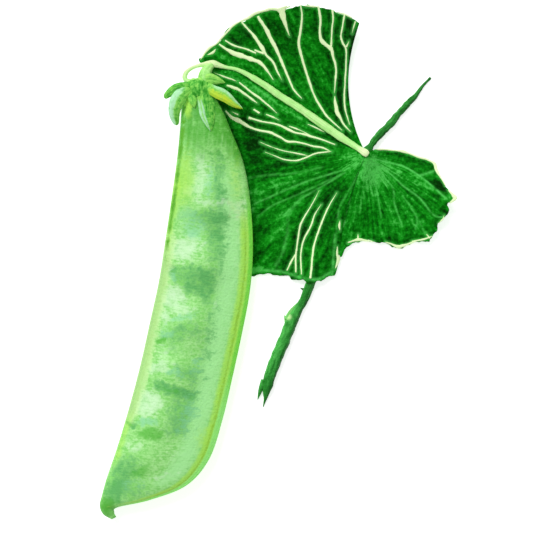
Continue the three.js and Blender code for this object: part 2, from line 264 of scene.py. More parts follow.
def stalk(route, sides, shape=None):
    """A tube along route, whose rows are x, y, radius and height of the centre.

    The ring is a circle across the route; shape may change its radius from the share along the
    route and the angle round it. The grain runs round and along the tube, drawn out along it.
    """
    stretch = 0.12
    centre = route[:, [0, 1, 3]]
    heading = np.gradient(centre, axis=0)
    heading /= np.linalg.norm(heading, axis=1, keepdims=True)
    aside = np.stack([-heading[:, 1], heading[:, 0], np.zeros(len(route))], axis=-1)
    aside /= np.linalg.norm(aside, axis=1, keepdims=True)
    up = np.cross(heading, aside)
    up *= np.sign(up[:, 2:])
    angle = 2 * np.pi * (np.arange(sides) + 0.5) / sides
    share = np.linspace(0, 1, len(route))[:, None]
    radius = route[:, 2:3] * np.ones(sides)
    if shape:
        radius = radius * shape(share, angle)
    rings = (
        centre[:, None]
        + aside[:, None] * (radius * np.cos(angle))[..., None]
        + up[:, None] * (radius * np.sin(angle))[..., None]
    )
    run = np.cumsum(np.linalg.norm(np.gradient(centre, axis=0), axis=1))[:, None]
    grain = np.stack(np.broadcast_arrays(np.cos(angle), np.sin(angle), run * stretch), axis=-1)
    return rings, grain


GRAIN_SCALES = ("Streak Scale", "Mottle Scale", "Cell Scale")


def make_plant_grain():
    """Node group: the tissue of every green part, as masks that wander round 0.5.

    Streaks is fine noise in the grain's own direction, Mottle is broad soft noise in space and
    Cells is the pebbled skin of the smallest cells.
    """
    group = bpy.data.node_groups.new("plant grain", "ShaderNodeTree")
    face = group.interface
    for vector in ("Grain", "Place"):
        face.new_socket(vector, in_out="INPUT", socket_type="NodeSocketVector")
    for scale in GRAIN_SCALES:
        face.new_socket(scale, in_out="INPUT", socket_type="NodeSocketFloat")
    for mask in ("Streaks", "Mottle", "Cells"):
        face.new_socket(mask, in_out="OUTPUT", socket_type="NodeSocketFloat")
    nodes, links = group.nodes, group.links
    enter = nodes.new("NodeGroupInput")
    leave = nodes.new("NodeGroupOutput")
    for output, vector, scale, detail in (
        ("Streaks", "Grain", "Streak Scale", 5.0),
        ("Mottle", "Place", "Mottle Scale", 4.0),
    ):
        noise = nodes.new("ShaderNodeTexNoise")
        noise.inputs["Detail"].default_value = detail
        noise.inputs["Roughness"].default_value = 0.6
        links.new(enter.outputs[vector], noise.inputs["Vector"])
        links.new(enter.outputs[scale], noise.inputs["Scale"])
        links.new(noise.outputs["Fac"], leave.inputs[output])
    cells = nodes.new("ShaderNodeTexVoronoi")
    cells.feature = "SMOOTH_F1"
    links.new(enter.outputs["Place"], cells.inputs["Vector"])
    links.new(enter.outputs["Cell Scale"], cells.inputs["Scale"])
    links.new(cells.outputs["Distance"], leave.inputs["Cells"])
    return group


plant_grain = make_plant_grain()


class Paint:
    """A plant material in the making: its nodes, the grain group and the shader.

    scales are the grain group's three, in the order of GRAIN_SCALES.
    """

    def __init__(self, name, scales, roughness, sheen=0.12):
        self.material = bpy.data.materials.new(name)
        self.material.use_nodes = True
        self.nodes = self.material.node_tree.nodes
        self.links = self.material.node_tree.links
        self.shader = self.nodes["Principled BSDF"]
        self.shader.inputs["Roughness"].default_value = roughness
        self.shader.inputs["Specular IOR Level"].default_value = sheen
        self.grain = self.nodes.new("ShaderNodeGroup")
        self.grain.node_tree = plant_grain
        place = self.nodes.new("ShaderNodeTexCoord")
        self.links.new(self.mask("grain", "Vector"), self.grain.inputs["Grain"])
        self.links.new(place.outputs["Object"], self.grain.inputs["Place"])
        for socket, value in zip(GRAIN_SCALES, scales):
            self.grain.inputs[socket].default_value = value

    def mask(self, name, output="Fac"):
        """A per-point attribute of the mesh."""
        node = self.nodes.new("ShaderNodeAttribute")
        node.attribute_name = name
        return node.outputs[output]

    def math(self, operation, *terms):
        """One arithmetic step on sockets or numbers."""
        node = self.nodes.new("ShaderNodeMath")
        node.operation = operation
        for socket, term in zip(node.inputs, terms):
            if isinstance(term, (int, float)):
                socket.default_value = term
            else:
                self.links.new(term, socket)
        return node.outputs[0]

    def steer(self, base, grain, amount):
        """base plus amount times how far a grain mask stands from its middle."""
        away = self.math("SUBTRACT", self.grain.outputs[grain], 0.5)
        return self.math("ADD", base, self.math("MULTIPLY", away, amount))

    def ramp(self, value, stops):
        """Colours between stops of (place, colour)."""
        node = self.nodes.new("ShaderNodeValToRGB")
        while len(node.color_ramp.elements) < len(stops):
            node.color_ramp.elements.new(0.5)
        for element, (place, colour) in zip(node.color_ramp.elements, stops):
            element.position = place
            element.color = (*colour, 1.0)
        self.links.new(value, node.inputs["Fac"])
        return node.outputs["Color"]

    def over(self, under, colour, mask):
        """colour laid over under where mask is 1."""
        node = self.nodes.new("ShaderNodeMix")
        node.data_type = "RGBA"
        node.clamp_factor = True
        self.links.new(mask, node.inputs["Factor"])
        self.links.new(under, node.inputs["A"])
        node.inputs["B"].default_value = (*colour, 1.0)
        return node.outputs["Result"]

    def relief(self, depth, cells=True):
        """Fine relief of the streaks, and of the cells too; depth is in millimetres."""
        height = self.grain.outputs["Streaks"]
        if cells:
            height = self.math("ADD", height, self.grain.outputs["Cells"])
        node = self.nodes.new("ShaderNodeBump")
        node.inputs["Strength"].default_value = 1.0
        node.inputs["Distance"].default_value = depth * MM
        self.links.new(height, node.inputs["Height"])
        self.links.new(node.outputs["Normal"], self.shader.inputs["Normal"])

    def finish(self, colour):
        """The colour goes to the shader."""
        self.links.new(colour, self.shader.inputs["Base Color"])
        return self.material


def place_piece(piece, material, node):
    """Give a piece its material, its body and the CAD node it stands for."""
    piece.data.materials.append(material)
    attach(piece, "root")
    if node:
        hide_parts(node)


def stem_paint():
    """Dark to light green in long streaks, and torn flesh where the bark is off."""
    paint = Paint("stem skin", (2.6, 700.0, 2600.0), 0.6)
    tone = paint.steer(paint.mask("tone"), "Streaks", 1.2)
    tone = paint.steer(tone, "Mottle", 0.7)
    colour = paint.ramp(tone, [(0.05, STEM_DARK), (0.5, STEM_MID), (0.95, STEM_LIGHT)])
    colour = paint.over(colour, STEM_TORN, paint.mask("scar"))
    paint.relief(0.15)
    return paint.finish(colour)


def make_stem():
    """The tube, with five low ridges that wind slowly round it; its line and girth wander.

    Its left side is painted lighter and its right darker: painted light and shade, as from the
    lamp at the upper left, and strongest in the stretch below the scar.
    """
    route = evenly(STEM_ROUTE, STEM_RINGS)
    share = np.linspace(0, 1, STEM_RINGS)
    run = STEM_LENGTH * share
    free = rise(share, 0, 1 / 6) * (np.abs(share - COVERED_SHARE) > COVERED_REACH)
    unsteady = free * (LOWER_WANDER + UPPER_WANDER * (share > UPPER_SHARE))
    route[:, 0] += unsteady * rough(run, 0 * run, 2.4, 11)
    route[:, 2] *= 1 + 1.3 * unsteady * rough(run, 0 * run + 9, 1.5, 14)

    def ridged(share, angle):
        ridges = STEM_RIDGE * np.cos(5 * angle + 9 * share)
        waves = rough(STEM_LENGTH * share + 0 * angle, 2 * np.sin(angle) + 0 * share, 0.9, 17)
        return 1 + ridges + STEM_WAVES * waves

    rings, grain = stalk(route, STEM_SIDES, ridged)
    rings[..., 2] = np.maximum(rings[..., 2], 0.0)
    side = (rings[..., 0] - route[:, None, 0]) / route[:, None, 2]
    pale = bell(route[:, None, 1], LIT_STRETCH_Y, LIT_STRETCH_REACH)
    shaded = rise(side, 0.15, 0.75)
    # Painted light and shade: lighter on the left, towards the lamp, and darker on the right.
    tone = 0.42 + 0.36 * pale - 0.2 * side * (1 - pale) - 0.52 * pale * shaded
    scar_x, scar_y, reach = STEM_SCAR
    gap = np.hypot(rings[..., 0] - scar_x, rings[..., 1] - scar_y)
    scar = np.exp(-((gap / reach) ** 4)) * (rings[..., 2] > 0.7)
    return skin("stem_skin", rings, {"tone": tone, "grain": grain, "scar": scar})


def make_fibres(material):
    """The slivers: each tapers from its root in the stem to a fine tip near the board."""
    for number, (x0, y0, x1, y1, radius, tone, pale) in enumerate(STEM_FIBRES):
        root = (x0, y0, radius, 1.1)
        middle = ((x0 + x1) / 2, (y0 + y1) / 2, radius * 0.85, 0.8)
        tip = (x1, y1, 0.06, 0.3)
        rings, grain = stalk(evenly([root, middle, tip], 24), 10)
        rings[..., 2] = np.maximum(rings[..., 2], 0.0)
        even = np.ones(rings.shape[:2])
        masks = {"tone": tone * even, "grain": grain, "scar": pale * even}
        fibre = skin(f"stem_fibre_{number}", rings, masks)
        place_piece(fibre, material, None)


stem_skin = stem_paint()
place_piece(make_stem(), stem_skin, "stem")
make_fibres(stem_skin)

# ---------------------------------------------------------------------------------------------
# The two stipules: leaf-like wings that grow from the node, thin and ruffled, with cream veins
# that fan out to the margin. Each is one blade; its raised veins and pale rims are part of it.
# ---------------------------------------------------------------------------------------------

NODE_XY = (17.6, 21.7)
BLADE_THICKNESS = 0.3  # and a quarter of that at its rim
BLADE_FLOOR = 0.5
HUB_RISE = 0.65
HUB_REACH = 18.0
RIDGE_RISE = 1.8  # the blade rides over the stem, which runs in STEM_HEADING beneath it
RIDGE_REACH = 3.0
STEM_HEADING = (-0.41, -0.912)
# Where the margin lifts: height, at which distance from the node, in which direction from it in
# degrees and how far to both sides of that. The top margin is first, then the right tip.
MARGIN_LIFTS = [(4.5, 30, 108, 22), (3.2, 20, -28, 20)]
RUFFLE = 0.35  # height of a ruffle at RUFFLE_FAR from the node
RUFFLE_FAR = 25
RUFFLE_COUNT = 13  # in a whole turn
PUCKER = 0.26  # how far the blade swells between veins
PUCKER_REACH = 0.9
QUILT = 0.07  # and how far its small cells stand up
TUCK = 0.7  # the smaller blade dips under the larger one by this much
TUCK_TURN = -100.0  # it begins in this direction from the node, in degrees, and is full 10 on
RIB_STEP = 0.18
RIB_LIFT = 0.06  # a rib's edge above the blade's middle surface, and its root below it
RIB_SINK = 0.2
RIB_CROWN = 0.14  # the most that it is crowned
RIB_DRIFT = 0.16  # how far it drifts aside and how far its width wanders, as shares of the width
RIB_UNEVEN = 0.28
RIB_LEAST_HALF = 0.03

LEFT_MARGIN = [
    (16.3, 47.7), (14.9, 48.7), (13.3, 49.5), (11.0, 50.2), (8.0, 50.9), (5.8, 51.0),
    (4.0, 51.2), (1.4, 50.5), (-1.6, 50.6), (-3.4, 50.4), (-5.2, 49.6), (-6.8, 48.6),
    (-8.6, 47.9), (-10.1, 46.5), (-11.3, 45.1), (-12.1, 44.0), (-13.7, 43.2), (-14.8, 41.8),
    (-15.9, 40.7), (-15.2, 39.4), (-13.2, 34.5), (-12.2, 30.0), (-11.2, 22.5), (-9.2, 12.5),
    (-7.6, 2.5), (-5.6, -2.4), (-3.2, -2.2), (-1.6, -2.4), (1.0, -2.6), (3.4, -3.2),
    (5.2, -3.6), (6.4, -4.0), (8.4, -3.8), (9.4, -3.2), (10.6, -2.8), (11.6, -2.1),
    (12.2, 0.2),
]
LEFT_BOWS = (2.8, -1.2)
RIGHT_MARGIN = [
    (18.6, 22.3), (19.8, 22.7), (22.4, 22.6), (24.8, 22.5), (26.2, 22.0), (28.0, 21.3),
    (29.6, 20.9), (31.4, 20.0), (31.8, 18.7), (32.4, 17.3), (33.4, 15.5), (34.4, 14.2),
    (35.5, 12.9), (33.9, 11.6), (34.1, 10.6), (33.7, 9.6), (33.3, 8.6), (32.5, 7.6),
    (31.9, 6.2), (30.8, 5.1), (29.4, 4.4), (27.6, 4.2), (25.8, 3.6), (24.2, 3.1),
    (22.4, 3.7), (20.6, 4.2), (19.0, 4.1), (17.6, 4.3), (16.0, 4.2), (14.6, 3.8),
    (13.6, 2.8), (12.6, 1.0), (11.9, 2.4),
]
RIGHT_BOWS = (0.0, -1.6)

# Cream veins as rows of x, y and width. Those above the peduncle run up from it to the margin.
UPPER_VEINS = [
    [(-11.8, 43.8, 0.25), (-10.2, 42.7, 0.55), (-8.2, 41.7, 0.95), (-5.7, 40.9, 0.85),
     (-3.6, 40.1, 0.75), (-2.3, 38.7, 0.45), (-0.9, 36.6, 0.12)],
    [(-10.6, 44.5, 0.25), (-8.8, 43.5, 0.35), (-6.3, 42.8, 0.3), (-4.4, 42.0, 0.35)],
    [(-7.3, 48.2, 0.35), (-5.7, 46.5, 0.45), (-4.4, 44.9, 0.6), (-3.2, 43.1, 0.7),
     (-2.3, 41.6, 0.45), (-1.0, 40.2, 0.42), (-0.2, 38.5, 0.36), (0.8, 36.6, 0.12)],
    [(-4.7, 42.6, 0.3), (-2.8, 41.9, 0.42)],
    [(-4.0, 49.3, 0.55), (-1.6, 45.3, 0.75), (1.0, 39.7, 0.5), (2.0, 37.2, 0.42),
     (3.2, 34.7, 0.36), (4.8, 32.9, 0.15)],
    [(0.6, 50.8, 1.9), (1.2, 48.5, 1.0), (1.8, 46.7, 0.4), (2.3, 45.3, 0.1)],
    [(4.5, 51.2, 0.3), (4.8, 48.7, 0.36), (4.5, 46.1, 0.42), (4.2, 43.6, 0.5),
     (5.2, 39.7, 0.5), (6.6, 35.3, 0.4), (7.6, 32.9, 0.4), (8.8, 30.9, 0.36),
     (10.1, 29.1, 0.34), (12.9, 26.5, 0.15)],
    [(8.0, 51.0, 0.42), (8.4, 48.7, 0.5), (8.4, 46.1, 0.48), (8.8, 44.3, 0.75),
     (10.5, 42.8, 0.7), (11.1, 41.1, 0.5), (11.6, 39.1, 0.4), (11.5, 36.5, 0.34),
     (11.3, 33.9, 0.12)],
    [(11.4, 33.4, 0.15), (11.5, 31.8, 0.6), (11.9, 30.3, 0.85), (12.5, 29.1, 0.55),
     (13.2, 27.8, 0.4), (14.6, 26.2, 0.12)],
    [(10.8, 50.3, 0.42), (11.0, 48.7, 0.34), (10.8, 46.7, 0.3), (10.7, 44.9, 0.3),
     (10.6, 42.9, 0.42)],
    [(13.3, 49.6, 0.35), (12.9, 47.1, 0.26), (12.6, 45.3, 0.3), (13.0, 43.9, 0.4),
     (13.6, 42.9, 0.42), (13.7, 41.5, 0.26), (13.6, 38.5, 0.26), (13.3, 32.9, 0.32),
     (13.6, 30.3, 0.32), (14.4, 27.6, 0.12)],
    [(15.5, 48.2, 0.3), (15.1, 46.9, 0.22), (14.8, 45.8, 0.1)],
    [(14.2, 44.3, 0.1), (13.7, 43.1, 0.34)],
]
# Those below it curve round to meet near the node.
LOWER_VEINS = [
    [(-12.9, 38.2, 0.12), (-11.2, 37.5, 0.3), (-9.2, 36.8, 0.32), (-8.3, 36.4, 0.1)],
    [(-7.8, 36.2, 0.25), (-6.8, 35.4, 0.42), (-5.4, 34.3, 0.45), (-3.5, 32.9, 0.42),
     (-1.8, 31.5, 0.34), (-0.2, 30.0, 0.1)],
    [(-10.3, 35.6, 0.35), (-9.2, 35.3, 0.72), (-7.9, 34.7, 0.5), (-5.4, 32.9, 0.42),
     (-4.1, 32.0, 0.12)],
    [(-4.9, 30.8, 0.3), (-3.7, 30.0, 0.4)],
    [(-2.4, 29.8, 0.2), (-0.9, 29.2, 0.3), (0.3, 28.6, 0.1)],
    [(2.2, 27.4, 0.12), (3.4, 27.0, 0.32), (4.6, 26.5, 0.2), (6.6, 25.5, 0.12)],
    [(-5.9, 29.1, 0.5), (-3.5, 28.4, 0.34), (-1.6, 28.1, 0.34), (0.4, 27.6, 0.38),
     (2.2, 26.7, 0.5), (3.6, 26.1, 0.36), (5.5, 25.7, 0.38), (6.8, 25.3, 0.42),
     (8.7, 24.7, 0.3), (11.5, 23.7, 0.22)],
    [(6.0, 27.8, 0.16), (7.6, 27.1, 0.32), (9.4, 26.2, 0.12)],
    [(-10.6, 30.5, 0.3), (-9.2, 29.1, 0.7), (-8.0, 28.6, 0.85), (-7.0, 28.0, 0.7),
     (-5.4, 27.1, 0.42), (-3.5, 26.5, 0.42), (-1.4, 26.1, 0.55), (0.4, 25.2, 0.42),
     (1.8, 24.4, 0.45), (3.6, 24.2, 0.38), (5.5, 23.8, 0.34), (7.0, 23.4, 0.34),
     (9.1, 23.0, 0.34), (10.7, 22.2, 0.15)],
    [(-9.3, 30.3, 0.12), (-8.0, 29.7, 0.3)],
    [(-3.6, 24.2, 0.1), (-1.2, 23.2, 0.2), (1.3, 22.4, 0.22), (4.5, 21.8, 0.3),
     (6.0, 21.5, 0.12)],
    [(-2.6, 22.2, 0.1), (-0.8, 21.5, 0.18), (1.3, 20.7, 0.26), (3.6, 20.5, 0.34),
     (5.2, 20.9, 0.36), (7.7, 21.9, 0.36), (10.7, 22.3, 0.12)],
    [(8.3, 14.5, 0.1), (7.0, 12.0, 0.2), (5.4, 9.3, 0.32), (4.5, 7.3, 0.34),
     (4.0, 4.5, 0.34), (3.6, 1.5, 0.34), (3.6, -2.0, 0.28)],
    [(3.5, 1.6, 0.25), (2.6, 0.1, 0.34), (1.8, -1.6, 0.25)],
    [(8.7, 11.7, 0.1), (7.4, 9.6, 0.26), (6.7, 7.5, 0.36), (5.2, 4.5, 0.34),
     (4.6, 1.8, 0.3), (4.7, -2.4, 0.25)],
    [(11.8, 14.0, 0.1), (10.2, 11.3, 0.26), (9.1, 8.9, 0.36), (8.3, 6.7, 0.34),
     (7.1, 2.7, 0.38), (6.5, -3.2, 0.5)],
]
# Cream rims, where a margin has lost its green.
LEFT_RIMS = [
    [(-15.6, 40.8, 0.2), (-13.9, 42.9, 0.45), (-12.3, 43.9, 0.3), (-11.4, 45.0, 0.4),
     (-9.9, 46.5, 0.35), (-9.0, 47.5, 0.4), (-8.0, 48.1, 0.3), (-6.2, 48.9, 0.4),
     (-4.3, 49.9, 0.5), (-1.6, 50.5, 0.45), (0.6, 50.45, 0.45), (2.4, 50.9, 0.2)],
    [(5.2, 51.0, 0.15), (6.6, 50.95, 0.35), (8.2, 50.8, 0.15)],
    [(11.6, 50.0, 0.1), (13.3, 49.6, 0.35), (14.8, 48.9, 0.2)],
    [(12.4, 8.4, 0.1), (12.3, 7.4, 0.5), (12.4, 6.4, 0.1)],
    [(11.9, 3.2, 0.2), (11.9, 1.7, 0.4), (12.1, 0.9, 0.85), (11.9, -0.1, 0.6), (11.5, -1.2, 0.15)],
    [(-14.2, 41.7, 0.1), (-13.1, 42.1, 0.5), (-12.5, 42.8, 0.15)],
]
RIGHT_RIMS = [
    [(19.4, 22.6, 0.15), (21.4, 22.7, 0.35), (23.6, 22.5, 0.3), (24.9, 22.4, 0.55),
     (26.4, 21.9, 0.35), (28.2, 21.2, 0.4), (30.0, 20.7, 0.35), (31.4, 19.9, 0.6),
     (31.8, 18.6, 0.5), (32.5, 17.2, 0.3), (33.5, 15.4, 0.2)],
    [(34.0, 14.5, 0.2), (35.0, 13.4, 0.6), (35.3, 12.8, 0.7), (34.3, 11.9, 0.25)],
    [(28.0, 4.4, 0.2), (26.0, 3.7, 0.4), (24.2, 3.2, 0.6), (22.6, 3.8, 0.3), (21.6, 4.1, 0.15)],
    [(33.2, 9.4, 0.12), (33.0, 8.7, 0.3), (32.2, 7.9, 0.12)],
    [(31.0, 5.3, 0.15), (29.4, 4.7, 0.35), (27.8, 4.4, 0.3), (26.9, 4.3, 0.15)],
    [(29.8, 5.7, 0.15), (30.5, 4.9, 0.4)],
    [(19.2, 4.2, 0.15), (17.4, 4.45, 0.4), (16.1, 4.6, 0.6), (15.2, 4.4, 0.4), (14.0, 4.0, 0.15)],
    [(16.1, 5.7, 0.1), (16.1, 4.7, 0.45)],
]
# The pale stalk that lies on the larger blade, which doesn't swell beneath it: x, y and
# half-width, from the pedicel to the node.
PEDUNCLE_ROUTE = [
    (-15.2, 39.5, 0.42), (-14.2, 39.85, 0.62), (-12.9, 39.85, 0.72), (-11.6, 39.5, 0.5),
    (-10.2, 39.15, 0.34), (-8.6, 38.85, 0.34), (-6.8, 38.1, 0.46), (-4.6, 36.8, 0.6),
    (-2.0, 35.15, 0.66), (0.3, 33.5, 0.72), (4.3, 30.95, 0.76), (9.1, 27.55, 0.8),
    (12.4, 25.25, 0.78), (14.8, 23.7, 0.66), (16.4, 22.6, 0.6), (17.4, 21.9, 0.78),
    (17.9, 21.5, 0.6),
]
# Soft light lines in the blades: rows of x and y, then half-width and strength.
LEFT_STREAKS = [
    ([(11.4, 5.5), (11.2, 2.0), (11.0, -1.0), (10.8, -2.6)], 0.35, 0.9),
    ([(14.5, 19.0), (5.8, 16.3), (1.4, 14.5), (-1.8, 13.1), (-4.6, 11.9)], 0.26, 0.7),
    ([(13.5, 18.0), (6.4, 14.8), (2.6, 13.1), (-1.4, 11.3), (-4.2, 9.2)], 0.24, 0.5),
    ([(12.5, 17.5), (6.8, 14.1), (4.5, 12.7), (1.2, 9.5)], 0.26, 0.6),
    ([(9.0, 19.2), (3.0, 17.9), (-2.0, 17.6), (-6.0, 17.0)], 0.3, 0.35),
    ([(5.0, 13.4), (2.2, 9.8), (1.9, 6.0), (0.9, 2.0), (-0.4, -0.5)], 0.45, 0.4),
    ([(16.5, 18.5), (14.0, 14.0), (12.2, 10.5), (11.6, 4.0), (11.3, 0.0)], 0.3, 0.35),
    ([(-5.4, -2.0), (-2.4, -1.6), (1.0, -1.9), (4.6, -3.0), (8.0, -3.3), (11.0, -1.7)], 0.4, 0.8),
]
RIGHT_STREAKS = [
    ([(19.2, 20.8), (22.8, 19.9), (25.6, 19.1), (29.2, 16.7), (33.6, 12.8)], 0.26, 0.95),
    ([(28.4, 17.4), (31.2, 18.3)], 0.35, 0.8),
    ([(18.8, 19.8), (22.2, 18.1), (25.0, 15.5), (28.4, 12.9), (31.2, 9.5), (33.3, 9.1)], 0.24, 0.8),
    ([(19.0, 19.0), (22.0, 16.3), (23.2, 14.5), (23.4, 11.9), (24.9, 7.5)], 0.22, 0.7),
    ([(18.4, 19.0), (19.4, 16.5), (20.3, 11.9), (20.7, 9.0)], 0.22, 0.65),
    ([(25.0, 13.5), (27.8, 9.1), (27.6, 6.7)], 0.22, 0.6),
    ([(28.4, 8.3), (29.3, 6.1)], 0.22, 0.6),
]
# Broad lighter (+) and darker (-) parts: x, y, reach along, reach across, turn in degrees, change.
LEFT_TONES = [
    (1.0, 31.6, 9.5, 1.7, -33, 0.38), (16.0, 20.6, 4.4, 3.0, 20, 0.45),
    (0.5, 15.8, 6.0, 1.4, 20, 0.28), (-5.2, 13.5, 1.8, 3.4, 0, 0.25),
    (1.5, 8.6, 2.2, 4.4, -20, 0.22), (-11.0, 39.5, 4.0, 2.6, -30, 0.3),
    (-1.5, 37.6, 5.0, 1.8, -38, 0.12), (-6.2, 23.8, 3.4, 4.5, 10, -0.4),
    (14.6, 43.0, 1.6, 6.0, 0, -0.35), (12.9, 32.0, 1.2, 6.0, 5, -0.35),
    (10.5, 12.0, 2.0, 5.0, -25, -0.2), (4.8, 5.5, 1.2, 6.0, -12, -0.22),
    (-4.8, -1.4, 2.4, 0.8, 0, 0.7), (-8.5, 31.4, 3.5, 1.4, -38, -0.3),
    (8.5, 44.0, 1.5, 5.0, 5, -0.12), (-8.0, 44.6, 3.2, 1.6, 38, -0.32),
    (11.0, 17.5, 2.5, 1.2, 50, -0.22), (-9.4, 22.0, 1.6, 9.0, 12, -0.18),
    (0.0, 19.6, 5.0, 1.2, 14, -0.22), (-8.0, 6.0, 1.4, 7.0, 10, -0.3),
    (9.4, 3.0, 1.3, 4.0, -8, -0.12), (8.0, 38.5, 3.0, 8.0, 10, 0.04),
    (-0.6, 46.8, 1.4, 4.0, 25, -0.24), (10.0, 25.0, 5.0, 1.0, -28, -0.15),
    # These last two are painted light: lighter strips on the blade along the pod's right edge, over
    # the pod's cast shadow.
    (-8.3, 28.6, 3.2, 1.1, -62, 0.5), (-6.9, 22.4, 3.4, 1.0, -76, 0.45),
]
RIGHT_TONES = [
    (18.8, 18.4, 4.0, 4.2, 0, 0.62), (25.5, 17.2, 4.5, 1.6, -28, 0.2),
    (33.0, 14.0, 1.2, 4.0, 20, -0.15), (26.0, 8.0, 6.0, 2.0, 8, 0.12),
    (24.4, 21.4, 6.0, 0.9, -9, -0.2), (14.0, 9.0, 2.2, 5.0, -10, 0.3),
    (15.0, 4.8, 1.8, 1.2, 0, 0.3), (24.0, 11.0, 4.0, 3.0, 0, 0.08),
    (28.4, 16.3, 3.0, 1.6, -35, 0.2), (31.9, 15.4, 2.2, 1.0, -44, -0.42),
    (30.2, 17.4, 1.6, 0.6, 12, 0.28), (33.7, 12.8, 1.1, 0.7, 20, 0.75),
]
LEAF_DEEP = (0.001, 0.03, 0.001)
LEAF_DARK = (0.001, 0.085, 0.002)
LEAF_MID = (0.002, 0.175, 0.003)
LEAF_FRESH = (0.008, 0.3, 0.011)
LEAF_LIGHT = (0.08, 0.57, 0.085)
LEAF_STREAK = (0.085, 0.58, 0.095)
LEAF_UNDER = (0.07, 0.32, 0.065)
VEIN_CREAM = (0.82, 0.99, 0.56)
VEIN_GREEN = (0.24, 0.66, 0.14)


def from_node(x, y):
    """Distance from the node, and direction from it in radians."""
    dx, dy = x - NODE_XY[0], y - NODE_XY[1]
    return np.hypot(dx, dy), np.arctan2(dy, dx)


def blade_height(x, y):
    """The middle surface of both stipules, without its finest relief.

    It lies flat near the board, rises round the node and in a ridge over the stem, and its top
    margin and right tip lift. Shallow ruffles grow towards the margin, but not under the pod.
    """
    radius, turn = from_node(x, y)
    turn = np.degrees(turn)
    aside = (x - NODE_XY[0]) * STEM_HEADING[1] - (y - NODE_XY[1]) * STEM_HEADING[0]
    height = BLADE_FLOOR + HUB_RISE * bell(radius, 0, HUB_REACH)
    height = height + RIDGE_RISE * bell(aside, 0, RIDGE_REACH)
    for lift, distance, heading, spread in MARGIN_LIFTS:
        height = height + lift * (radius / distance) ** 2 * bell(turn, heading, spread)
    clear = np.clip(rise(x, -4, 4) + rise(y, 34, 40), 0, 1)
    wave = np.sin(np.radians(turn) * RUFFLE_COUNT + 0.6)
    return height + RUFFLE * (radius / RUFFLE_FAR) ** 2 * wave * clear


def tucked(x, y):
    """How far the smaller blade dips where it passes under the larger one."""
    radius, turn = from_node(x, y)
    turn = np.degrees(turn)
    return TUCK * rise(turn, TUCK_TURN, TUCK_TURN - 10) * rise(radius, 0, 8)


def nearest(x, y, lines, count=36):
    """Distance from every point to the nearest of lines, each taken as short straight steps."""
    best = np.full(x.shape, 99.0)
    for rows in lines:
        path = evenly(rows, count)
        start, step = path[:-1], np.diff(path, axis=0)
        length2 = (step[:, :2] ** 2).sum(axis=1)
        dx, dy = x[..., None] - start[:, 0], y[..., None] - start[:, 1]
        along = np.clip((dx * step[:, 0] + dy * step[:, 1]) / length2, 0, 1)
        gap = np.hypot(dx - along * step[:, 0], dy - along * step[:, 1])
        best = np.minimum(best, gap.min(axis=-1))
    return best


def patches(x, y, rows):
    """The sum of oval patches: x, y, reach along, reach across, turn, change, crispness, lean.

    The last two may be left out and are then 1. A patch of crispness 1 fades softly, and more
    holds level and then drops; a lean above 1 draws its upper edge in by that much.
    """
    total = np.zeros(x.shape)
    for cx, cy, along, across, turn, change, *extra in rows:
        crisp, lean = (*extra, 1.0, 1.0)[:2]
        c, s = np.cos(np.radians(turn)), np.sin(np.radians(turn))
        u = ((x - cx) * c + (y - cy) * s) / along
        v = ((y - cy) * c - (x - cx) * s) / across
        v = np.where(v > 0, v * lean, v)
        total += change * np.exp(-((u * u + v * v) ** crisp))
    return total


def fan_places(margin, bows, rays, rings, ragged):
    """x and y over a blade, and how far out each place is from the node (0) to the margin (1).

    Rays run from the node to every place of the margin. The first sixth of them bows aside, most
    at the first ray and by bows[0], and the last sixth by bows[1]. ragged moves the margin in and
    out along each ray by small uneven teeth.
    """
    share = np.linspace(0, 1, rays)
    edge = evenly(margin, rays)
    bow = bows[0] * rise(share, 1 / 6, 0) + bows[1] * rise(share, 5 / 6, 1)
    ray = edge - NODE_XY
    length = np.linalg.norm(ray, axis=1, keepdims=True)
    reach = 0.004 + 0.996 * np.linspace(0, 1, rings) ** 0.9
    out = length * reach + ragged(edge)[:, None] * rise(reach, 11 / 12, 1) ** 2
    aside = np.stack([-ray[:, 1], ray[:, 0]], axis=-1) / length
    swing = bow[:, None] * 4 * reach * (1 - reach)
    x = NODE_XY[0] + ray[:, :1] / length * out + aside[:, :1] * swing
    y = NODE_XY[1] + ray[:, 1:] / length * out + aside[:, 1:] * swing
    return x, y, reach


def both_sides(upper, lower=None):
    """Rows over a piece's upper side and then back over its lower one, as skin takes them."""
    lower = upper if lower is None else lower
    return np.concatenate([upper, lower[:, ::-1]], axis=1)


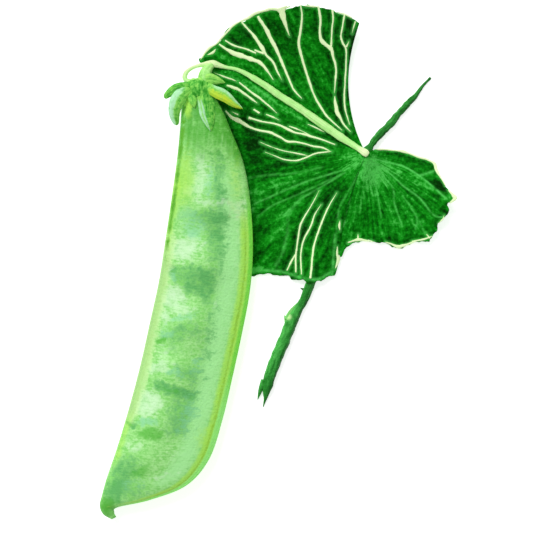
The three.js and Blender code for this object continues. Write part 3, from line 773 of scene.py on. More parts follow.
def blade(name, places, veins, streaks, tones, base_tone, dip):
    """A thin leaf on a fan of places, with veins sunk a little between swollen fields.

    Soft light lines follow the streaks, broken a little; tones are broad lighter and darker
    parts over base_tone, and dip lowers the leaf. Fine fibres fan out from the node.
    """
    x, y, reach = places
    near = nearest(x, y, veins)
    light = np.zeros(x.shape)
    soft = np.full(x.shape, 99.0)
    broken = np.clip(0.85 + 0.7 * rough(x, y, 0.7, 31), 0, 1.3)
    for rows, width, strength in streaks:
        gap = nearest(x, y, [rows])
        light = np.maximum(light, strength * bell(gap, 0, 0.75 * width) * broken)
        soft = np.minimum(soft, gap)
    field = 1 - bell(np.minimum(near, soft), 0, PUCKER_REACH)
    radius, turn = from_node(x, y)
    fibres = rough(turn * 30, radius * 0.2, 1.0, 41) * np.clip(radius / 9, 0.2, 1)
    cells = rough(x, y, 1.0, 51)
    blotches = rough(x, y, 2.6, 61)
    height = blade_height(x, y) + (PUCKER + QUILT * (cells + fibres)) * field - dip(x, y)
    rim = rise(reach, 1, 0.975) ** 0.5
    thickness = BLADE_THICKNESS * (0.25 + 0.75 * rim)
    upper = np.stack([x, y, height], axis=-1)
    lower = np.stack([x, y, height - thickness], axis=-1)
    # Painted shade: the blade is a little darker just beside its veins, where it dips to meet them.
    tone = base_tone + patches(x, y, tones) - 0.1 * bell(near, 0.8, 0.4)
    light = np.maximum(light, 0.5 * bell(near, 0.15, 0.25))
    tone = tone + 0.16 * fibres + 0.1 * cells + 0.1 * blotches
    grain = np.stack([turn * 9, radius * 0.09, 0 * radius], axis=-1)
    masks = {
        "tone": both_sides(tone),
        "light": both_sides(light),
        "under": both_sides(np.zeros(x.shape), np.ones(x.shape)),
        "grain": both_sides(grain),
    }
    return skin(name, both_sides(upper, lower), masks)


def leftwards(path):
    """Steps of length 1 to the left of a path, square to it and flat."""
    heading = np.gradient(path[:, :2], axis=0)
    heading /= np.linalg.norm(heading, axis=1, keepdims=True)
    return np.stack([-heading[:, 1], heading[:, 0]], axis=-1)


def ribs(name, lines, dip):
    """Raised veins: each a low rounded rib along its line, on the blade's upper face.

    Its section is half an ellipse, as wide as its line says. It drifts a little aside and its
    width wanders, so that it is nowhere quite straight or even.
    """
    arc = np.linspace(0, np.pi, 7)
    pieces = []
    for rows in lines:
        length = np.hypot(*np.diff(np.asarray(rows)[:, :2], axis=0).T).sum()
        path = evenly(rows, max(int(length / RIB_STEP), 10))
        aside = leftwards(path)
        run = np.linspace(0, length, len(path))
        drift = RIB_DRIFT * rough(run, run * 0 + rows[0][0] * 7, 1.6, 71)
        path[:, :2] += aside * drift[:, None] * path[:, 2:3]
        uneven = RIB_UNEVEN * rough(run, run * 0 + rows[0][1] * 5, 1.0, 81)
        half = np.maximum(path[:, 2] / 2 * (1 + uneven), RIB_LEAST_HALF)
        across = np.cos(arc)[None, :] * half[:, None]
        x = path[:, :1] + aside[:, :1] * across
        y = path[:, 1:2] + aside[:, 1:2] * across
        floor = blade_height(x, y) - dip(x, y)
        crown = np.sin(arc)[None, :] * np.minimum(0.45 * half, RIB_CROWN)[:, None]
        upper = np.stack([x, y, floor + RIB_LIFT + crown], axis=-1)
        lower = np.stack([x, y, floor - RIB_SINK], axis=-1)
        rings = both_sides(upper, lower)
        blank = np.zeros(rings.shape[:2])
        masks = {
            "width": 2 * half[:, None] + blank,
            "round": np.concatenate([np.abs(np.cos(arc))] * 2)[None, :] + blank,
            "grain": np.stack([both_sides(across) * 3, run[:, None] * 0.5 + blank, blank], axis=-1),
        }
        pieces.append(skin("rib", rings, masks))
    return joined(name, pieces)


def joined(name, pieces):
    """Several skins made one mesh."""
    with bpy.context.temp_override(
        active_object=pieces[0], selected_editable_objects=pieces, selected_objects=pieces
    ):
        bpy.ops.object.join()
    pieces[0].name = name
    pieces[0].data.name = name
    return pieces[0]


def leaf_paint():
    """Deep green in radial streaks, soft light lines, and a paler, duller lower face."""
    paint = Paint("stipule blade", (2.4, 1300.0, 3200.0), 0.65, 0.02)
    tone = paint.steer(paint.mask("tone"), "Streaks", 1.1)
    tone = paint.steer(tone, "Mottle", 1.2)
    colour = paint.ramp(tone, [
        (0.0, LEAF_DEEP), (0.22, LEAF_DARK), (0.47, LEAF_MID), (0.72, LEAF_FRESH),
        (1.0, LEAF_LIGHT),
    ])
    colour = paint.over(colour, LEAF_STREAK, paint.steer(paint.mask("light"), "Mottle", 0.25))
    colour = paint.over(colour, LEAF_UNDER, paint.math("MULTIPLY", paint.mask("under"), 0.75))
    paint.relief(0.12)
    return paint.finish(colour)


def vein_paint():
    """Cream, greener where a vein is thin and along its flanks."""
    paint = Paint("vein cream", (1.5, 900.0, 2500.0), 0.6, 0.1)
    broad = paint.math("MULTIPLY", paint.mask("width"), 3.4)
    broad = paint.steer(broad, "Mottle", 1.3)
    colour = paint.ramp(broad, [(0.1, VEIN_GREEN), (0.8, VEIN_CREAM)])
    edge = paint.math("POWER", paint.mask("round"), 8.0)
    colour = paint.over(colour, VEIN_GREEN, paint.math("MULTIPLY", edge, 0.4))
    return paint.finish(colour)


def left_ragged(edge):
    """Small uneven teeth along the larger stipule's margin, strongest at its foot."""
    foot = rise(edge[:, 1], 5, -1)
    return (0.36 + 0.15 * foot) * rough(edge[:, 0], edge[:, 1], 1.0, 91)


def right_ragged(edge):
    """Coarser teeth along the smaller stipule's right side and foot."""
    wild = np.clip((22 - edge[:, 1]) / 4, 0.2, 1)
    return 0.6 * wild * rough(edge[:, 0], edge[:, 1], 1.2, 95)


def level(x, y):
    """No dip."""
    return np.zeros(x.shape)


leaf_green = leaf_paint()
vein_cream = vein_paint()
left_places = fan_places(LEFT_MARGIN, LEFT_BOWS, 400, 110, left_ragged)
right_places = fan_places(RIGHT_MARGIN, RIGHT_BOWS, 280, 84, right_ragged)
left_veins = UPPER_VEINS + LOWER_VEINS
left_lines = left_veins + LEFT_RIMS + [PEDUNCLE_ROUTE]
left_blade = blade(
    "stipule_left_blade", left_places, left_lines, LEFT_STREAKS, LEFT_TONES,
    base_tone=0.44, dip=level,
)
right_blade = blade(
    "stipule_right_blade", right_places, RIGHT_RIMS, RIGHT_STREAKS, RIGHT_TONES,
    base_tone=0.46, dip=tucked,
)
left_ribs = ribs("stipule_left_veins", left_veins + LEFT_RIMS, level)
right_ribs = ribs("stipule_right_rims", RIGHT_RIMS, tucked)
place_piece(left_blade, leaf_green, "stipule_left")
place_piece(right_blade, leaf_green, "stipule_right")
place_piece(left_ribs, vein_cream, None)
place_piece(right_ribs, vein_cream, None)

# ---------------------------------------------------------------------------------------------
# The peduncle: the pod's pale stalk. It springs from the node between the stipules, where its
# foot is splayed, and lies along the larger stipule, thinning towards the pod.
# ---------------------------------------------------------------------------------------------

PEDUNCLE_FLATNESS = 0.62  # height of its section over its width
PEDUNCLE_RINGS = 280
PEDUNCLE_SIDES = 32
STALK_PALE = (0.48, 0.92, 0.29)
STALK_CREAM = (0.80, 0.97, 0.52)
STALK_GREEN = (0.22, 0.62, 0.1)


def stalk_paint():
    """Pale green with long fine streaks, cream where the tone is high."""
    paint = Paint("pale stalk", (2.2, 800.0, 2600.0), 0.55, 0.2)
    tone = paint.steer(paint.mask("tone"), "Streaks", 0.8)
    tone = paint.steer(tone, "Mottle", 0.4)
    colour = paint.ramp(tone, [(0.1, STALK_GREEN), (0.45, STALK_PALE), (0.85, STALK_CREAM)])
    paint.relief(0.08, cells=False)
    return paint.finish(colour)


def make_peduncle():
    """A flattened stalk that rests on the blade and lifts off it at the pedicel.

    Its section is an ellipse with seven shallow grooves. It turns cream at the pedicel and at
    its foot in the node.
    """
    route = evenly(PEDUNCLE_ROUTE, PEDUNCLE_RINGS)
    share = np.linspace(0, 1, PEDUNCLE_RINGS)
    route[:, 2] *= 1 + 0.1 * rough(45 * share, 0 * share, 1.6, 101)
    lift = blade_height(route[:, 0], route[:, 1]) + PEDUNCLE_FLATNESS * route[:, 2] * 0.7 + 0.1
    lift += 0.5 * bell(share, 0, 0.08)
    route = np.column_stack([route, lift])

    def grooved(share, angle):
        flat = 1 / np.sqrt(np.cos(angle) ** 2 + (np.sin(angle) / PEDUNCLE_FLATNESS) ** 2)
        return flat * (1 + 0.05 * np.cos(7 * angle) + 0 * share)

    rings, grain = stalk(route, PEDUNCLE_SIDES, grooved)
    share = share[:, None]
    tone = 0.47 + 0.4 * rise(share, 0.93, 0.98) + 0.35 * bell(share, 0.05, 0.07)
    return skin("peduncle_stalk", rings, {"tone": tone + 0 * rings[..., 0], "grain": grain})


pale_stalk = stalk_paint()
place_piece(make_peduncle(), pale_stalk, "peduncle")

# ---------------------------------------------------------------------------------------------
# The pedicel: the crook that carries the pod. It runs on from the peduncle, turns over to the
# left and down and comes back to the calyx, so that a gap shows inside its bend; on the right of
# the gap its short thick neck drops straight from the peduncle to the calyx.
# ---------------------------------------------------------------------------------------------

# x, y, radius and height of the centre, from the peduncle to the calyx
PEDICEL_ROUTE = [
    (-13.6, 39.8, 0.5, 1.9), (-14.9, 39.65, 0.42, 2.3), (-16.2, 39.3, 0.36, 2.9),
    (-17.4, 38.75, 0.36, 3.4), (-18.25, 38.0, 0.42, 3.9), (-18.6, 37.1, 0.5, 4.1),
    (-18.35, 36.35, 0.5, 4.2), (-17.6, 36.05, 0.6, 4.1), (-16.6, 36.15, 0.8, 4.0),
]
NECK_ROUTE = [
    (-13.2, 39.5, 0.5, 1.7), (-13.8, 39.0, 0.8, 2.3), (-14.35, 38.2, 1.1, 3.1),
    (-14.55, 37.3, 1.25, 3.6), (-14.6, 36.2, 1.35, 3.9), (-15.0, 35.0, 1.3, 3.8),
]
PEDICEL_SIDES = 26


def make_pedicel(name, rows, count, tone_start, tone_end):
    """A round, faintly ribbed stalk; its tone runs from one end to the other."""
    route = evenly(rows, count)
    share = np.linspace(0, 1, count)
    route[:, 2] *= 1 + 0.09 * rough(12 * share, 0 * share + route[0, 1], 1.0, 111)

    def ribbed(share, angle):
        return 1 + 0.05 * np.cos(6 * angle + 3 * share)

    rings, grain = stalk(route, PEDICEL_SIDES, ribbed)
    tone = tone_start + (tone_end - tone_start) * share[:, None] ** 1.5
    return skin(name, rings, {"tone": tone + 0 * rings[..., 0], "grain": grain})


crook = make_pedicel("pedicel_crook", PEDICEL_ROUTE, 100, 0.78, 0.45)
neck = make_pedicel("pedicel_neck", NECK_ROUTE, 60, 0.45, 0.0)
place_piece(joined("pedicel_stalk", [crook, neck]), pale_stalk, "pedicel")

# ---------------------------------------------------------------------------------------------
# The calyx: a green collar that the pod's neck sits in, with pointed sepals round its rim. They
# grew as one, are fleshy and hairless, and each has its own tint; a blue-white painted highlight
# runs along the lobe edges that face the lamp and over the front fold.
# ---------------------------------------------------------------------------------------------

POD_HEIGHT = 3.6  # both sutures of the pod lie at this height
# The collar's rings, from the pedicel to its rim: y, middle x, half-width and half-height
CUP_RINGS = [
    (37.2, -14.6, 0.35, 0.35), (36.9, -14.9, 1.1, 0.9), (36.4, -15.6, 2.1, 1.5),
    (35.8, -16.1, 2.8, 1.95), (35.1, -16.2, 3.0, 2.25), (34.3, -16.0, 2.75, 2.35),
    (33.6, -15.8, 2.55, 2.3), (33.0, -15.7, 2.45, 2.15),
]
CALYX_DARK = (0.02, 0.26, 0.012)
CALYX_GREEN = (0.085, 0.45, 0.05)
CALYX_LIGHT = (0.27, 0.72, 0.11)
# Painted highlight: the blue-white tint along the lobe edges that face the lamp.
SEPAL_HIGHLIGHT = (0.46, 0.85, 0.5)
SEPAL_YELLOW = (0.57, 0.79, 0.045)
SEPAL_PALE = (0.4, 0.8, 0.17)


def calyx_paint(name, near_edge, far_edge):
    """Mottled green that turns to near_edge left of a lobe's way to its tip, and far_edge right."""
    paint = Paint(name, (3.2, 1300.0, 2600.0), 0.5, 0.06)
    tone = paint.steer(paint.mask("tone"), "Streaks", 1.7)
    tone = paint.steer(tone, "Mottle", 1.9)
    colour = paint.ramp(tone, [(0.1, CALYX_DARK), (0.45, CALYX_GREEN), (0.9, CALYX_LIGHT)])
    for mask, tint in (("near_edge", near_edge), ("far_edge", far_edge)):
        held = paint.math("MINIMUM", paint.math("MULTIPLY", paint.mask(mask), 3.0), 1.0)
        ragged = paint.steer(paint.mask(mask), "Mottle", 2.0)
        colour = paint.over(colour, tint, paint.math("MULTIPLY", ragged, held))
    paint.relief(0.1, cells=False)
    return paint.finish(colour)


def make_cup():
    """Rings along y, palest at the pedicel and ribbed where the sepals begin."""
    count, sides = 70, 64
    path = through(CUP_RINGS, np.linspace(0, len(CUP_RINGS) - 1, count))
    angle = 2 * np.pi * (np.arange(sides) + 0.5) / sides
    share = np.linspace(0, 1, count)[:, None]
    lumps = 0.08 * rough(4 * np.cos(angle) + 0 * share, 4 * share + 0 * angle, 1.3, 121)
    ribbed = 1 + 0.05 * np.cos(10 * angle) * share + lumps * rise(share, 0, 0.2)
    x = path[:, 1:2] + path[:, 2:3] * np.cos(angle) * ribbed
    z = POD_HEIGHT + 0.1 + path[:, 3:4] * np.sin(angle) * ribbed
    rings = np.stack([x, path[:, :1] + 0 * x, z], axis=-1)
    grain = np.stack([3 * np.cos(angle) + 0 * x, 3 * np.sin(angle) + 0 * x, share + 0 * x], axis=-1)
    blank = np.zeros_like(x)
    pale = 1.2 * np.clip(1 - share * 2.4, 0, 1) + blank
    masks = {"tone": 0.47 + blank, "grain": grain, "near_edge": pale, "far_edge": blank}
    return skin("calyx_shell", rings, masks)


def sepal(
    name, spine, half_width, cup, edges, base_tone, point, streak=0.0, split=0.0, droop=0.0
):
    """A lobe along a smooth spine of x, y and height.

    Its breadth is half_width times a bulge that is fullest a third of the way along, and a
    smaller point leaves its tip blunter. Its middle stands above its margins by cup, and its
    left margin, seen towards the tip, hangs lower by droop. edges holds how strongly its left
    and right side are tinted, split where the two tints meet and streak where a dark midline
    runs, both from -1 at its right margin to 1 at its left one; a streak beyond those shows
    nowhere.
    """
    count, across_count = 60, 21
    path = through(spine, np.linspace(0, len(spine) - 1, count))
    aside = np.column_stack([leftwards(path), np.zeros(count)])
    share = np.linspace(0, 1, count)[:, None]
    bulge = np.sin(np.pi * np.clip(0.2 + 0.8 * share, 0, 1)) ** (0.75 * point)
    part = np.sin(np.linspace(-np.pi / 2, np.pi / 2, across_count))[None, :]
    torn = 1 + 0.08 * rough(share * 5 + 0 * part, 3 * np.sign(part) + 0 * share, 1.0, 131)
    reach = half_width * bulge * part * torn
    middle = path[:, None] + aside[:, None] * reach[..., None]
    lift = cup * (1 - part**2) + 0.05 * np.cos(11 * part) * bulge
    lift = lift - droop * np.maximum(part, 0) * bulge
    thickness = 0.16 + 0.3 * np.sqrt(1 - part**2) * bulge
    upper, lower = middle.copy(), middle.copy()
    upper[..., 2] += lift + thickness / 2
    lower[..., 2] += lift - thickness / 2

    def both(values):
        return both_sides(values + 0 * part + 0 * share)

    fade = np.clip(share * 6 - 0.3, 0, 1)
    near_edge = edges[0] * np.clip((part - split) * 2.2 + 0.1, 0, 1) * fade
    far_edge = edges[1] * np.clip((split - part) * 2.2 + 0.1, 0, 1) * fade
    tone = base_tone + 0.15 * share - 0.25 * bell(part, streak, 0.16)
    tone = tone - 0.9 * np.clip(np.abs(part) - 0.85, 0, 1) * (1 - fade * 0.5)
    masks = {
        "tone": both(tone),
        "near_edge": both(near_edge),
        "far_edge": both(far_edge),
        "grain": np.stack([both(part * 2.5), both(share * 1.2), both(0 * share)], axis=-1),
    }
    return skin(name, both_sides(upper, lower), masks)


# Two of these paints lay a blue-white painted highlight along the lobe edges that face the lamp.
cup_paint = calyx_paint("calyx green", SEPAL_PALE, SEPAL_HIGHLIGHT)
highlight_edge_paint = calyx_paint("sepal highlight-edged", SEPAL_HIGHLIGHT, SEPAL_HIGHLIGHT)
yellow_paint = calyx_paint("sepal yellow", SEPAL_HIGHLIGHT, SEPAL_YELLOW)
pale_paint = calyx_paint("sepal pale", SEPAL_PALE, SEPAL_PALE)

place_piece(make_cup(), cup_paint, "calyx_cup")

upper_left = sepal(
    "sepal_upper_left_lobe",
    [(-16.8, 35.0, 4.8), (-18.6, 34.9, 5.3), (-20.3, 34.5, 5.4), (-21.5, 33.8, 5.0),
     (-22.7, 32.8, 4.4)],
    half_width=1.0, cup=0.3, edges=(0.0, 0.0), base_tone=0.5, point=0.5,
)
place_piece(upper_left, cup_paint, "sepal_upper_left")

lower_left = sepal(
    "sepal_lower_left_lobe",
    [(-17.6, 34.7, 5.2), (-19.1, 33.4, 5.8), (-20.2, 31.7, 5.9), (-20.6, 29.6, 5.4),
     (-20.2, 27.3, 4.6)],
    half_width=1.4, cup=0.35, edges=(0.0, 0.95), base_tone=0.72, point=0.6, streak=0.3,
)
place_piece(lower_left, highlight_edge_paint, "sepal_lower_left")

small_front = sepal(
    "sepal_front_left_lobe",
    [(-17.2, 34.2, 5.2), (-17.1, 33.0, 5.6), (-16.8, 31.8, 5.9), (-16.5, 30.7, 5.85)],
    half_width=0.85, cup=0.1, edges=(0.0, 0.0), base_tone=0.68, point=1.0,
)
place_piece(small_front, cup_paint, None)

front = sepal(
    "sepal_front_lobe",
    [(-14.7, 34.5, 5.35), (-14.2, 32.4, 5.7), (-13.9, 30.0, 6.05), (-13.5, 27.9, 6.3),
     (-13.2, 26.0, 6.4)],
    half_width=1.5, cup=0.12, edges=(0.0, 0.0), base_tone=0.52, point=1.3, streak=-0.2, droop=0.75,
)
place_piece(front, cup_paint, "sepal_front")

# The front fold carries the blue-white painted highlight all over.
front_fold = sepal(
    "sepal_front_fold",
    [(-15.8, 33.0, 5.75), (-15.3, 31.2, 6.05), (-14.9, 29.2, 6.35), (-14.2, 27.6, 6.5),
     (-13.4, 26.0, 6.5)],
    half_width=0.55, cup=0.1, edges=(0.9, 0.9), base_tone=1.0, point=1.2, streak=2.0,
)
place_piece(front_fold, highlight_edge_paint, None)

right_lobe = sepal(
    "sepal_right_lobe",
    [(-14.2, 35.1, 4.9), (-12.6, 34.1, 5.5), (-10.6, 33.1, 5.6), (-8.8, 31.7, 5.2),
     (-7.0, 30.6, 4.6)],
    half_width=1.15, cup=0.3, edges=(0.7, 0.85), base_tone=0.9, point=1.0, streak=-2.0, split=0.3,
)
place_piece(right_lobe, yellow_paint, "sepal_right")

upper_right = sepal(
    "sepal_upper_right_lobe",
    [(-15.3, 36.5, 4.5), (-13.7, 36.6, 4.9), (-12.2, 36.3, 4.8), (-10.5, 35.8, 4.4)],
    half_width=1.05, cup=0.2, edges=(0.4, 0.3), base_tone=0.75, point=1.1,
)
place_piece(upper_right, pale_paint, "sepal_upper_right")

# ---------------------------------------------------------------------------------------------
# The pod: two walls grown together along two sutures, closed over its peas, which swell both
# walls. The right suture carries a cord-like rim with an olive groove beside it; the left one is
# a fine seam. It narrows to its neck in the calyx and to a small hooked beak.
# ---------------------------------------------------------------------------------------------

# Rungs from calyx to beak: left suture x and y, right suture x and y, half-thickness
POD_RUNGS = [
    (-18.9, 34.1, -13.8, 34.6, 1.8), (-19.3, 30.5, -11.6, 31.4, 2.2),
    (-19.55, 26.8, -9.4, 26.4, 2.5), (-20.2, 20.5, -6.8, 19.6, 2.75),
    (-21.3, 12.5, -5.4, 10.8, 2.85), (-22.5, 4.5, -5.0, 2.2, 2.85),
    (-23.75, -3.5, -5.65, -6.0, 2.85), (-25.6, -12.0, -7.25, -14.5, 2.85),
    (-27.5, -20.5, -9.1, -23.0, 2.85), (-29.75, -29.0, -11.1, -31.5, 2.75),
    (-32.15, -37.0, -13.7, -39.2, 2.5), (-34.2, -43.0, -18.25, -44.5, 2.1),
    (-35.2, -46.6, -25.5, -47.4, 1.6), (-35.6, -48.6, -32.0, -48.9, 1.1),
    (-34.9, -50.3, -32.7, -49.9, 0.75), (-33.2, -51.3, -32.3, -50.8, 0.3),
]
# Peas from calyx to beak: rung, share of the breadth from the left suture, and size
PEAS = [
    (2.5, 0.52, 0.5), (3.95, 0.5, 0.85), (5.5, 0.44, 1.0), (6.95, 0.4, 1.0),
    (8.1, 0.37, 0.95), (9.15, 0.35, 0.85), (10.1, 0.34, 0.6),
]
PEA_RELIEF = 1.3
PEA_ALONG = 0.6  # rungs
PEA_ACROSS = 0.27  # share of the breadth
POD_ROWS = 480
POD_HALF_RING = 90
RIM_WIDTH = 1.1
RIM_HALF_HEIGHT = 0.85
EDGE_HALF_HEIGHT = 0.06
GROOVE_DEPTH = 0.09
SEAM_DEPTH = 0.12
POD_UNEVEN = 0.05
POD_CLEARANCE = 0.03  # its underside is flat this far above the board

POD_BASE_DARK = (0.22, 0.64, 0.14)
POD_BASE_LIGHT = (0.39, 0.82, 0.28)
POD_SHADE = (0.12, 0.46, 0.12)
# Painted highlight on the peas' upper left.
POD_HIGHLIGHT = (0.56, 0.86, 0.5)
POD_CREAM = (0.58, 0.88, 0.36)
# Painted shade: a teal half-shade on the peas' lower right.
POD_COOL_SHADE = (0.26, 0.68, 0.33)
# Painted shade: dark green in the creases between the peas.
POD_CREASE_SHADE = (0.09, 0.48, 0.04)
POD_LIME = (0.38, 0.77, 0.09)
POD_NECK = (0.078, 0.41, 0.034)
POD_MINT = (0.38, 0.84, 0.32)
POD_BAND = (0.39, 0.8, 0.095)
POD_OLIVE = (0.27, 0.58, 0.035)
POD_RIM = (0.2, 0.8, 0.07)
POD_HEM = (0.31, 0.87, 0.2)
POD_SHORE = (0.35, 0.635, 0.225)
POD_SEAM = (0.1, 0.4, 0.02)

# Washes of colour on the walls, as rows for patches. The pale ones are painted highlights on the
# peas' upper left; the shades, the teal ones and the dark green ones are painted shade on their
# lower right and in the creases between them, and a long soft painted shade runs down the right
# of the peas, along POD_COLUMN.
POD_COLUMN = [
    (-11.6, 14.0), (-11.6, 5.0), (-13.0, -4.0), (-13.2, -10.5), (-14.8, -18.5),
    (-17.4, -28.5), (-18.6, -32.5),
]
POD_HIGHLIGHTS = [
    (-22.6, -10.8, 1.7, 1.1, -10, 1.0),
    (-15.3, 18.4, 1.5, 4.8, 4, 0.7, 1.0), (-17.4, 14.4, 2.6, 1.2, 0, 0.5, 1.5),
    (-13.4, 12.0, 4.6, 0.8, -4, 0.5, 1.5), (-7.4, 10.4, 2.6, 2.2, 0, 0.6, 1.0),
    (-18.2, 2.8, 3.2, 2.7, 0, 0.95, 1.5), (-21.2, -6.8, 3.2, 2.5, 14, 0.9, 2.2),
    (-18.6, -9.6, 2.4, 1.2, 10, 0.6, 1.5), (-23.4, -17.6, 2.6, 1.6, 14, 0.35, 1.5),
    (-23.6, -20.8, 2.5, 1.5, 14, 0.85, 2.0), (-25.9, -28.2, 3.5, 2.8, 20, 0.9, 2.6),
    (-28.6, -36.4, 2.2, 1.3, 10, 0.45, 1.5), (-23.4, -42.6, 4.4, 0.9, 14, 0.45, 1.0),
    (-8.3, 4.5, 1.1, 8.0, 0, 0.2, 1.0), (-12.3, -8.4, 0.5, 0.9, -30, 0.6, 1.0),
    (-21.0, -37.8, 3.4, 1.2, 30, 0.35, 1.0),
]
POD_SHADES = [
    (-11.6, 19.0, 1.3, 7.5, 2, 0.65, 1.0), (-14.8, 9.4, 5.2, 2.1, -4, 0.6, 2.2, 2.0),
    (-12.6, 5.0, 2.2, 3.6, 0, 0.55, 1.2), (-17.4, -2.2, 4.8, 2.7, -8, 0.78, 3.0, 1.6),
    (-21.8, -1.5, 1.8, 1.2, 0, 0.7, 2.0), (-17.2, -5.6, 2.4, 1.4, 0, 0.6, 2.0),
    (-14.2, -5.6, 1.6, 2.4, 0, 0.5, 1.5), (-19.6, -13.8, 4.4, 2.3, 16, 0.6, 2.5, 1.6),
    (-20.4, -24.8, 5.0, 1.8, -16, 1.05, 2.5, 2.2), (-19.8, -29.4, 2.4, 3.2, -12, 0.55, 1.5),
    (-28.9, -32.2, 1.5, 0.8, -20, 0.95, 2.5), (-21.8, -33.6, 3.0, 1.8, 0, 0.35, 1.2),
    (-30.6, -41.6, 4.4, 2.3, 58, 0.85, 1.6), (-33.3, -46.4, 3.2, 1.6, 78, 0.9, 1.6),
    (-29.2, -45.2, 3.8, 2.0, 16, 0.65, 1.0), (-16.6, 30.0, 1.0, 3.0, 0, 0.8, 1.0),
    (-20.4, -17.4, 2.6, 1.0, 0, 0.3, 1.0), (-18.9, -21.6, 2.8, 1.5, 0, 0.6, 1.5),
]
POD_COOL_SHADES = [
    (-21.4, -2.4, 1.5, 1.1, 0, 0.6, 2.0), (-18.8, -10.9, 3.8, 1.0, 16, 0.6, 1.5),
    (-22.2, -14.0, 2.0, 1.2, 0, 0.6, 1.2), (-20.4, -21.9, 2.5, 0.8, -12, 0.45, 1.5),
    (-25.8, -31.6, 2.4, 0.8, -6, 0.8, 1.5), (-16.6, 6.6, 2.8, 2.4, 0, 0.7, 1.3),
    (-18.4, 10.0, 2.0, 1.6, 0, 0.6, 1.2), (-13.6, 15.6, 1.3, 3.6, 0, 0.55, 1.0),
    (-17.6, -29.5, 2.2, 5.0, -12, 0.5, 1.0), (-16.0, -20.4, 1.8, 2.2, 0, 0.4, 1.0),
    (-28.6, -44.0, 3.4, 1.6, 16, 0.4, 1.0),
]
POD_CREASE_SHADES = [
    (-23.2, -15.6, 0.95, 0.65, 20, 1.0, 2.5), (-25.2, -34.0, 3.0, 1.3, 3, 0.9, 2.5),
    (-21.2, -25.2, 2.6, 0.5, -20, 0.6, 1.5), (-29.2, -32.0, 1.0, 0.6, -20, 0.7, 2.0),
    (-27.4, -41.5, 2.4, 1.3, 20, 0.8, 1.2), (-20.6, -15.2, 1.4, 1.2, 0, 0.35, 1.0),
    (-33.6, -44.0, 1.2, 3.4, -12, 0.3, 1.0), (-31.8, -50.6, 1.6, 0.8, 0, 0.4, 1.0),
]
POD_GRAIN = (0.16, 5.6)  # what the grain gains in a millimetre across, and in a rung
# The washes in the order in which they lie: colour, mask, strength and raggedness
POD_WASHES = [
    (POD_MINT, "mint", 0.9, 0.6), (POD_SHADE, "shade", 0.88, 2.3), (POD_HIGHLIGHT, "pale", 0.88, 1.4),
    (POD_COOL_SHADE, "cool_shade", 0.95, 1.4), (POD_CREAM, "cream", 0.8, 1.0), (POD_NECK, "neck", 0.9, 1.5),
    (POD_BASE_DARK, "neck", 0.14, 1.9), (POD_LIME, "lime", 0.8, 0.8),
    (POD_CREASE_SHADE, "crease_shade", 0.8, 0.9), (POD_BAND, "band", 0.9, 0.8), (POD_RIM, "rim", 0.9, 1.0),
    (POD_HEM, "hem", 0.9, 0.8), (POD_SHORE, "shore", 0.9, 0.8), (POD_OLIVE, "olive", 0.55, 1.2),
    (POD_SEAM, "seam", 0.95, 1.0),
]


def pod_wall(rung, across, side):
    """Places on the pod's wall, with across from 0 at the left suture to 1 at the right one.

    side is 1 for the upper wall and -1 for the lower. The section is a lens, half an ellipse on
    each side of the sutures' plane, swollen by the peas. A half-round bead stands along the
    right suture with a groove beside it, and a fine groove runs beside the left one.
    """
    sutures = through(POD_RUNGS, rung)
    left, right, half = sutures[..., 0:2], sutures[..., 2:4], sutures[..., 4]
    flat = left + (right - left) * across[..., None]
    breadth = np.linalg.norm(right - left, axis=-1)
    lens = np.sqrt(np.clip(4 * across * (1 - across), 0, 1))
    swelling = np.zeros(np.broadcast_shapes(rung.shape, across.shape))
    for place, share, size in PEAS:
        r2 = ((rung - place) / PEA_ALONG) ** 2 + ((across - share) / PEA_ACROSS) ** 2
        swelling += size * np.exp(-r2 - 0.25 * r2**2)
    bulge = half * lens * (1 + 0.06 * (1 - lens)) + PEA_RELIEF * swelling * lens
    bulge += POD_UNEVEN * rough(flat[..., 0], flat[..., 1], 2.2, 141) * lens
    from_right = (1 - across) * breadth
    from_left = across * breadth
    body = rise(breadth, 0, 8)
    corded = body * rise(flat[..., 1], 20, 11)
    round_off = np.clip(1 - (from_right / RIM_WIDTH - 0.45) ** 2 / 0.25, 0, 1)
    bead = RIM_HALF_HEIGHT * np.sqrt(round_off)
    groove = GROOVE_DEPTH * bell(from_right, RIM_WIDTH + 0.2, 0.3) * corded
    seam = SEAM_DEPTH * bell(from_left, 0.6, 0.2) * body
    bulge = np.maximum(bulge - groove - seam, bead * corded)
    height = POD_HEIGHT + side * np.maximum(bulge, EDGE_HALF_HEIGHT)
    height = np.maximum(height, POD_CLEARANCE)
    return np.concatenate([flat, height[..., None]], axis=-1), from_left, from_right


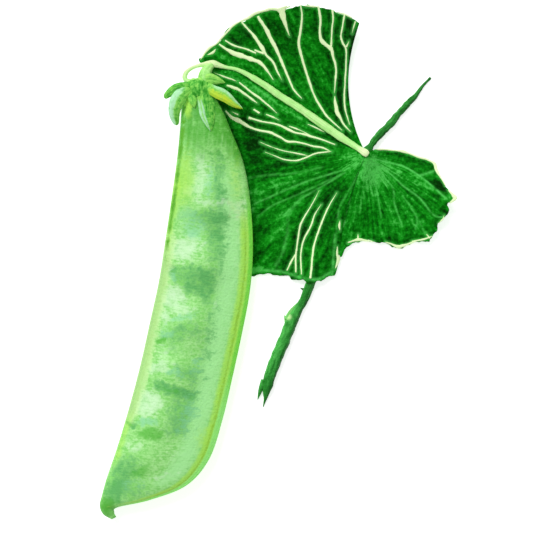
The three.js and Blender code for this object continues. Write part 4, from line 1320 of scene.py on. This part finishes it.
def make_pod():
    """Rings from calyx to beak, with closer points near both sutures, and a mask for each wash.

    Rim, hem, band and olive run along the right suture, mint lies well inside them, and seam,
    shore, cream and lime run along the left suture. Neck covers the calyx end and the beak. The
    other masks are patches whose edges waver: painted highlights on the peas, and painted shade
    below them, between them and down their right.
    """
    rung = np.linspace(0, len(POD_RUNGS) - 1, POD_ROWS)[:, None]
    across = 0.5 - 0.5 * np.cos(np.linspace(0, np.pi, POD_HALF_RING))[None, :]
    rung, across = np.broadcast_arrays(rung, across)
    upper, from_left, from_right = pod_wall(rung, across, 1)
    lower, _, _ = pod_wall(rung, across, -1)
    x, y = upper[..., 0], upper[..., 1]
    x_bent = x + 0.8 * rough(x, y, 2.0, 151) + 0.4 * rough(x, y, 0.6, 152)
    y_bent = y + 0.6 * rough(x, y, 1.7, 161) + 0.35 * rough(x, y, 0.6, 162)
    fibres = rough(from_left * 1.5, y * 0.14, 1.0, 181)
    column = nearest(x_bent, y_bent, [POD_COLUMN], 24)
    body = rise(y, -49.5, -46.5)
    seam_dots = 0.9 + 0.5 * wander(0 * x, y, 0.7, 171)
    beak = bell(x, -34.4, 2.4) * bell(y, -48.8, 2.4) + bell(x, -32.5, 0.3) * bell(y, -51.0, 0.3)
    seam = 0.25 * bell(from_left, 0.0, 0.3) + 0.95 * bell(from_left, 0.62, 0.42)
    neck = 0.95 * rise(y, 18, 26) + 0.5 * bell(from_right, 0.5, 1.9) * rise(y, 15, 23)
    masks = {
        # Painted light and shade: highlights on the peas' upper left, and shade on their lower
        # right, in the creases between them and down their right side.
        "pale": patches(x_bent, y_bent, POD_HIGHLIGHTS),
        "shade": patches(x_bent, y_bent, POD_SHADES) + 0.5 * bell(column, 0, 1.9),
        "cool_shade": patches(x_bent, y_bent, POD_COOL_SHADES),
        "crease_shade": patches(x_bent, y_bent, POD_CREASE_SHADES),
        "band": bell(np.maximum(from_right, 1.85), 1.85, 0.8) * rise(y, 14, 6) * body,
        "olive": bell(from_right, 1.45, 0.32) * rise(y, 10, 4) * body,
        "rim": rise(from_right, 1.1, 0.6) * body * rise(y, 18, 9),
        "hem": rise(from_right, 1.5, 1.0) * rise(y, -18, -30) * body,
        "shore": bell(from_left, 0.0, 1.6) * rise(y, 8, 0) * rise(y, -34, -29),
        "seam": seam * rise(y, -2, 3) * (y < 33) * seam_dots,
        "mint": bell(from_right, 4.6, 2.6) * rise(y, 22, 13) * rise(y, -47, -42),
        "cream": bell(from_left, 0.9, 1.5) * rise(y, 9, 4) * rise(y, -33.5, -30.5),
        "lime": 0.7 * bell(from_left, 0.6, 0.9) * rise(y, 20, 15) * rise(y, -43, -39)
        + 0.85 * bell(x, -18.6, 2.4) * bell(y, 16.5, 7.5)
        + 1.7 * bell(x_bent, -18.0, 0.9) * bell(y, 31.0, 1.9)
        + 0.5 * bell(x, -8.6, 1.8) * bell(y, 15, 9)
        + 0.6 * bell(x_bent, -14.6, 2.2) * bell(y_bent, -36, 5),
        "neck": neck * (1 + 0.6 * fibres) + 1.1 * beak,
    }
    masks = {name: both_sides(mask) for name, mask in masks.items()}
    walls = both_sides(0 * rung, 0 * rung + 7)
    across_grain, along_grain = POD_GRAIN
    sideways, run = both_sides(from_left) * across_grain, both_sides(rung) * along_grain
    masks["grain"] = np.stack([sideways, run, walls], axis=-1)
    return skin("pod_walls", both_sides(upper, lower), masks)


def pod_paint():
    """Light green under thin washes: painted shade below and between the peas, painted highlights
    on them, and the sutures.

    Each wash is its mask, broken up by mottle and streaks the more the higher its raggedness,
    and gone where the mask is nothing.
    """
    paint = Paint("pod skin", (3.6, 850.0, 2400.0), 0.5, 0.2)
    grain = paint.steer(paint.steer(0.55, "Streaks", 2.1), "Mottle", 1.9)
    grain = paint.steer(grain, "Cells", 0.8)
    colour = paint.ramp(grain, [(0.15, POD_BASE_DARK), (0.85, POD_BASE_LIGHT)])
    for tint, mask, strength, ragged in POD_WASHES:
        strong = paint.math("MULTIPLY", paint.mask(mask), strength)
        mottled = paint.steer(paint.steer(strong, "Mottle", ragged), "Streaks", ragged * 0.6)
        near = paint.math("MINIMUM", paint.math("MULTIPLY", strong, 5.0), 1.0)
        brushed = paint.math("MAXIMUM", paint.math("MULTIPLY_ADD", mottled, 3.0, -0.5), 0.0)
        held = paint.math("MULTIPLY", paint.math("MINIMUM", brushed, 1.0), near)
        colour = paint.over(colour, tint, paint.math("MULTIPLY", mottled, held))
    paint.relief(0.08)
    return paint.finish(colour)


place_piece(make_pod(), pod_paint(), "pod")
